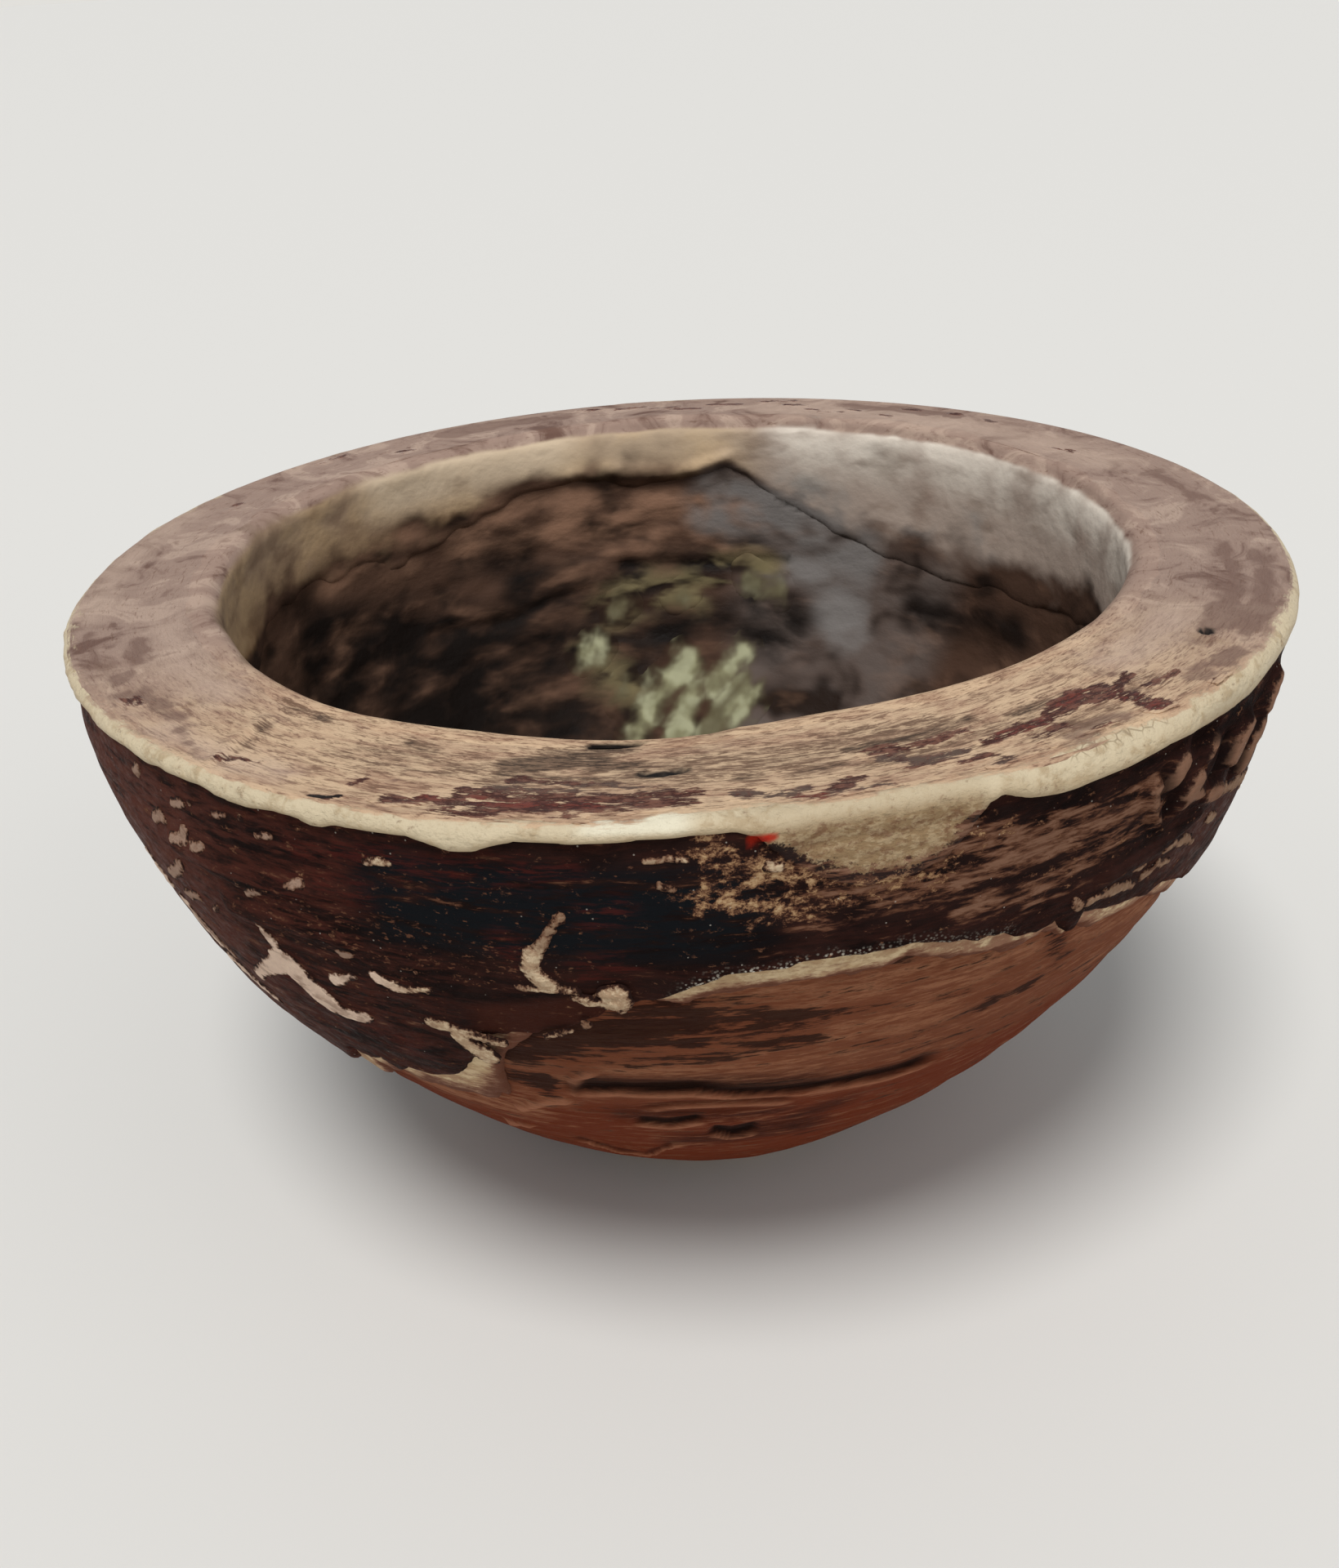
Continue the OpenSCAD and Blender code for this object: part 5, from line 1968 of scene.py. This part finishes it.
@dataclass
class InnerLining(Layer):
    """The dark scraped lining of the cavity."""

    name: str = "inner_lining_scraped"
    node: str = "inner_lining"
    slot: str = "lining"
    columns: Columns = (20, 1.0, 0.9)
    centred: bool = True
    thickness: float | None = 0.45
    fine: float = 0.7
    start: float = 1.6

    FINISH = LiningFinish()
    CREASES = sketch(
        (((161, 60.2), (155, 58.4), (149, 56.8), (141, 54.6), (131, 53.6)), 0.3, 0.2),
        (((-135, 48), (-150, 47), (-165, 49)), 0.8, 0.5), (((-172, 51.6), (-185, 51), (-200, 51.6)), 0.6),
    )

    def legs(self) -> Legs:
        """Runs from under the mouth's edge down to the pole, behind the coat."""
        points = self.bowl.mouth_points(self.bowl.mouth_out)
        return [(points[points[:, 1] < self.bowl.rim_top - self.start], self.fine)]

    def swell(self, turn: Array, along: Array) -> Array:
        """Follows the mouth's unevenness near the top."""
        return around(turn, ShellWall.SWELL) * (1 - smooth(along, 0, 20))

    def lift(self, at: Spots) -> Array:
        """Gives the lining's scraped face and its creases."""
        crease = 0.5 * smooth(at.inside(self.CREASES), -0.6, 0.5)
        return -self.bowl.coat_t + smooth(at.along, 0, 5) * (Relief.lining(at.turn, at.level) - crease)

    def marks(self, at: Spots) -> Marks:
        """Gives the lining's tones, with painted shade black in its creases."""
        found = LiningTone.marks(at.turn, at.level, at.radius)
        # painted shade: the creases painted black
        found["soot_and_shade"] = np.maximum(found["soot_and_shade"], smooth(at.inside(self.CREASES), -0.6, 0.2))
        return found


@dataclass
class MouthCoat(Layer):
    """The coat over the mouth's edge and the top of the lining, torn along its lower edge."""

    name: str = "mouth_coat_torn"
    node: str = "mouth_coat"
    slot: str = "coat"
    columns: Columns = (75, 0.6, 0.6)
    centred: bool = True
    thickness: float | None = 0.5
    fine: float = 0.45
    spread: float = 2.4
    lowest: float = 50.0

    FINISH = CoatFinish()
    EDGE = (
        (-180, 62), (-175, 62), (-170, 62.8), (-165, 63), (-160, 62.6), (-155, 61.8), (-150, 61.2),
        (-145, 60.6), (-140, 59.6), (-135, 58.8), (-127, 58.4), (-120, 59.5), (-113, 60.2), (-106, 60.6),
        (-100, 59.6), (-92, 57.4), (-80, 58), (-60, 61), (-40, 60), (-20, 61.5), (0, 60.5), (20, 61.5),
        (40, 60), (60, 58.5), (80, 59.5), (92, 57), (100, 55), (110, 54), (120, 52.8), (130, 52.4),
        (140, 53.6), (147, 54.6), (155, 57), (162, 60), (167, 62.6), (170, 63.8), (173, 63.4), (177, 62.8),
    )
    LEFT = (196, 254, 10)
    ROLLS = sketch((((-165, 64.6), (-172, 64.4), (-180, 63.6), (-185, 64.2), (-190, 65.8)), 0.8, 0.5))
    # patches of painted blue-grey sheen
    COOL_SHEEN = sketch(
        (((158, 60), (148, 57.5), (138, 57)), 3.0), (((126, 62), (122, 58)), 1.5),
    )

    def legs(self) -> Legs:
        """Runs inwards on the rim, over the mouth's edge and down."""
        points = self.bowl.mouth_points(self.bowl.mouth_out + self.spread)
        return [(points[points[:, 1] > self.lowest], self.fine)]

    def swell(self, turn: Array, along: Array) -> Array:
        """Follows the mouth's unevenness near the top."""
        return around(turn, ShellWall.SWELL) * (1 - smooth(along, 4, 24))

    def edges(self, at: Spots) -> tuple[Array, Array]:
        """Measures how far each place lies above the coat's lower edge and inside its upper one."""
        rough = 0.7 + 1.1 * window(at.turn, *self.LEFT)
        below = at.level - around(at.turn, self.EDGE) + rough * at.noise(101, 6, 3)
        return below, at.along - 1.0 + 0.6 * at.noise(103, 4, 1.4)

    def inside(self, at: Spots) -> Array:
        """Gives the coat's outline."""
        return np.minimum(*self.edges(at))

    def lift(self, at: Spots) -> Array:
        """Gives the coat's face, flush with the rim at its top and with a heavy torn roll at the back."""
        below, upper = self.edges(at)
        rolling = 0.12 * at.noise(102, 9, 7)
        roll = 0.6 * smooth(at.inside(self.ROLLS), -0.9, 0.5)
        ease = 2.0 + 4 * window(at.turn, 92, 160, 10) + 3 * window(at.turn, *self.LEFT)
        low = crown(below, self.bowl.coat_t, ease) - self.bowl.coat_t
        flat = smooth(at.level, self.bowl.rim_top - 0.6, self.bowl.rim_top)
        rim = Relief.rim(at.true_turn, at.true_radius) + crown(upper, 0.09, 1.0) - 0.04
        edge = np.exp(-((at.along - self.spread - 1.6) / 2.2) ** 2)
        edge *= smooth(at.along, self.spread - 0.6, self.spread + 1.2)
        worn = 0.7 * edge * window(at.turn, 100, 200, 25)
        return low + flat * rim - worn + (rolling + roll) * smooth(below, 0, 1.2) * (1 - flat)

    def marks(self, at: Spots) -> Marks:
        """Gives the coat's grey right side, its patches of painted blue-grey sheen, its worn lower edge, its
        top, its lighter upper part, its painted shade low at the left and its painted light at the back.
        """
        below, _ = self.edges(at)
        found = RimTone.marks(at.true_turn, at.true_radius)
        found.update(LiningTone.marks(at.turn, at.level, at.radius))
        found["grey"] = window(at.turn, 70, 160, 14)
        # patches of painted blue-grey sheen
        found["cool_sheen"] = smooth(at.inside(self.COOL_SHEEN) + 1.5 * at.noise(104, 7, 4), -2, 1.5)
        fade = 1 + 1.4 * window(at.turn, 95, 146, 8) + 0.9 * window(at.turn, *self.LEFT)
        found["deep"] = smooth(below / fade, 0.0, 3.5)
        # painted shade low at the left
        found["shade"] = window(at.turn, 232, 262, 12) * (1 - smooth(at.level, 62.5, 67))
        found["top"] = smooth(at.level, self.bowl.rim_top - 2.0, self.bowl.rim_top + 0.1)
        found["high"] = smooth(at.level, 60.5, 68) * (0.15 + 0.85 * window(at.turn, 75, 158, 8))
        # painted light at the back
        lit = window(at.turn, 198, 228, 8) + 0.45 * window(at.turn, 160, 188, 8)
        found["lit"] = smooth(at.level, 62, 67.5) * lit
        return found


@dataclass
class InnerResidue(Layer):
    """Pale green patches low on the back of the cavity."""

    name: str = "inner_residue_patches"
    node: str = "inner_residue"
    slot: str = "residue"
    centred: bool = True
    thickness: float | None = 0.4
    fine: float = 0.4
    low: float = 22.0
    high: float = 53.0

    FINISH = ResidueFinish()
    PATCHES = sketch(
        (((192, 29), (187, 33), (182, 36), (177.4, 38.4)), 2.0, 2.6),
        (((182, 27), (179.4, 31.6), (176.6, 35)), 3.0, 2.2),
        (((172, 35.6), (168.4, 38.2), (166.4, 39.8)), 2.2, 1.8), (((167.4, 32.6), (162.6, 35.6)), 1.6),
        (((198.2, 41), (194.8, 41.8)), 1.6),
    )
    DIM = sketch(
        (((176, 28), (170, 33), (166, 36)), 2.4), (((190.6, 45.6), (188.8, 46.6)), 1.5),
        (((179.6, 46.8), (178, 47.4)), 1.2), (((166.4, 49.4), (161, 47.6)), 1.5),
        (((193.4, 35), (190.4, 37)), 1.0),
    )

    def legs(self) -> Legs:
        """Runs down the lower part of the cavity."""
        points = self.bowl.cavity_points(0.0)
        return [(points[(points[:, 1] < self.high) & (points[:, 1] > self.low)], self.fine)]

    def turns(self) -> Array:
        """Covers only the back."""
        return np.arange(154, 210, 0.5)

    def inside(self, at: Spots) -> Array:
        """Gives the patches' soft ragged outlines."""
        return at.inside(self.PATCHES + self.DIM) + 1.3 + 0.6 * at.noise(111, 4, 3)

    def lift(self, at: Spots) -> Array:
        """Gives the patches' lumpy domes, which lie on the lining's own relief."""
        lumps = 0.2 * at.noise(112, 2.2, 2.6)
        base = -self.bowl.coat_t - 0.12 + Relief.lining(at.turn, at.level)
        return base + crown(at.depth, np.maximum(0.35 + lumps, 0.15), 3.0)

    def marks(self, at: Spots) -> Marks:
        """Gives the patches' depth inside their borders and the dim ones."""
        found = LiningTone.marks(at.turn, at.level, at.radius)
        found["deep"] = smooth(at.depth, 0.2, 3.8)
        clear = 1 - smooth(at.inside(self.PATCHES), -0.5, 1.0)
        found["dim"] = smooth(at.inside(self.DIM), -1.5, 0.8) * clear
        return found


# Studio

class Lamp(Enum):
    """The studio's soft lamps: where the light comes from, its spread in degrees and its strength."""

    KEY = ((-0.107, -0.40, 0.909), 22.0, 2.2)
    SIDE = ((0.75, -0.6, 0.35), 60.0, 0.45)


@dataclass(frozen=True)
class Studio:
    """Plain pale floor, soft light and the camera."""

    floor_size: float = 40.0
    floor_colour: Colour = seen(226, 224, 219)
    sky_colour: Colour = (0.95, 0.97, 1.0, 1.0)
    sky: float = 0.36
    eye: tuple[float, float, float] = (0.0, -0.169774, 0.129026)
    pitch: float = 0.4777
    yaw: float = -0.0123
    roll: float = -0.0612
    lens: float = 36.78
    sensor: float = 36.0

    def floor(self) -> None:
        """Lays the floor."""
        bpy.ops.object.select_all(action="DESELECT")
        bpy.ops.mesh.primitive_plane_add(size=self.floor_size)
        floor = bpy.context.object
        floor.name = "floor"
        floor.data.materials.append(Recipe("pale_floor").done(self.floor_colour, 0.8, 0.2))

    def lights(self) -> None:
        """Hangs the lamps and sets the sky, which the camera sees as pale as the floor."""
        for lamp in Lamp:
            way, spread, strength = lamp.value
            light = bpy.data.lights.new(lamp.name.lower(), "SUN")
            light.energy = strength
            light.angle = math.radians(spread)
            holder = bpy.data.objects.new(lamp.name.lower(), light)
            holder.rotation_euler = (-Vector(way)).to_track_quat("-Z", "Y").to_euler()
            bpy.context.scene.collection.objects.link(holder)
        world = bpy.data.worlds.new("sky")
        world.use_nodes = True
        tree = world.node_tree
        glow = tree.nodes["Background"]
        glow.inputs["Color"].default_value = self.sky_colour
        glow.inputs["Strength"].default_value = self.sky
        shown = tree.nodes.new("ShaderNodeBackground")
        shown.inputs["Color"].default_value = self.floor_colour
        ray = tree.nodes.new("ShaderNodeLightPath")
        either = tree.nodes.new("ShaderNodeMixShader")
        tree.links.new(ray.outputs["Is Camera Ray"], either.inputs[0])
        tree.links.new(glow.outputs[0], either.inputs[1])
        tree.links.new(shown.outputs[0], either.inputs[2])
        tree.links.new(either.outputs[0], tree.nodes["World Output"].inputs["Surface"])
        bpy.context.scene.world = world

    def camera(self) -> None:
        """Sets the camera where the photograph was taken from."""
        ahead = Vector((
            math.sin(self.yaw) * math.cos(self.pitch),
            math.cos(self.yaw) * math.cos(self.pitch),
            -math.sin(self.pitch),
        ))
        level = ahead.cross(Vector((0, 0, 1))).normalized()
        over = level.cross(ahead)
        right = math.cos(self.roll) * level + math.sin(self.roll) * over
        up = math.cos(self.roll) * over - math.sin(self.roll) * level
        lens = bpy.data.cameras.new("camera")
        lens.lens = self.lens
        lens.sensor_width = self.sensor
        lens.sensor_fit = "AUTO"
        lens.clip_start = 0.005
        camera = bpy.data.objects.new("camera", lens)
        turn = Matrix((right, up, -ahead)).transposed()
        camera.matrix_world = Matrix.Translation(self.eye) @ turn.to_4x4()
        bpy.context.scene.collection.objects.link(camera)
        bpy.context.scene.camera = camera
        bpy.context.scene.view_settings.view_transform = "Standard"


def main() -> None:
    """Builds the bowl's layers from the wall outwards, then the studio."""
    logging.basicConfig(level=logging.INFO, format="%(name)s %(message)s")
    bowl = Bowl.from_frame()
    kinds = (
        ShellWall, FibreLayer, GroundCoat, DarkSkin, PaleScabs,
        RimLip, RimFlakes, InnerLining, MouthCoat, InnerResidue,
    )
    for kind in kinds:
        kind(bowl).build()
    studio = Studio()
    studio.floor()
    studio.lights()
    studio.camera()


if __name__ == "__main__":
    main()
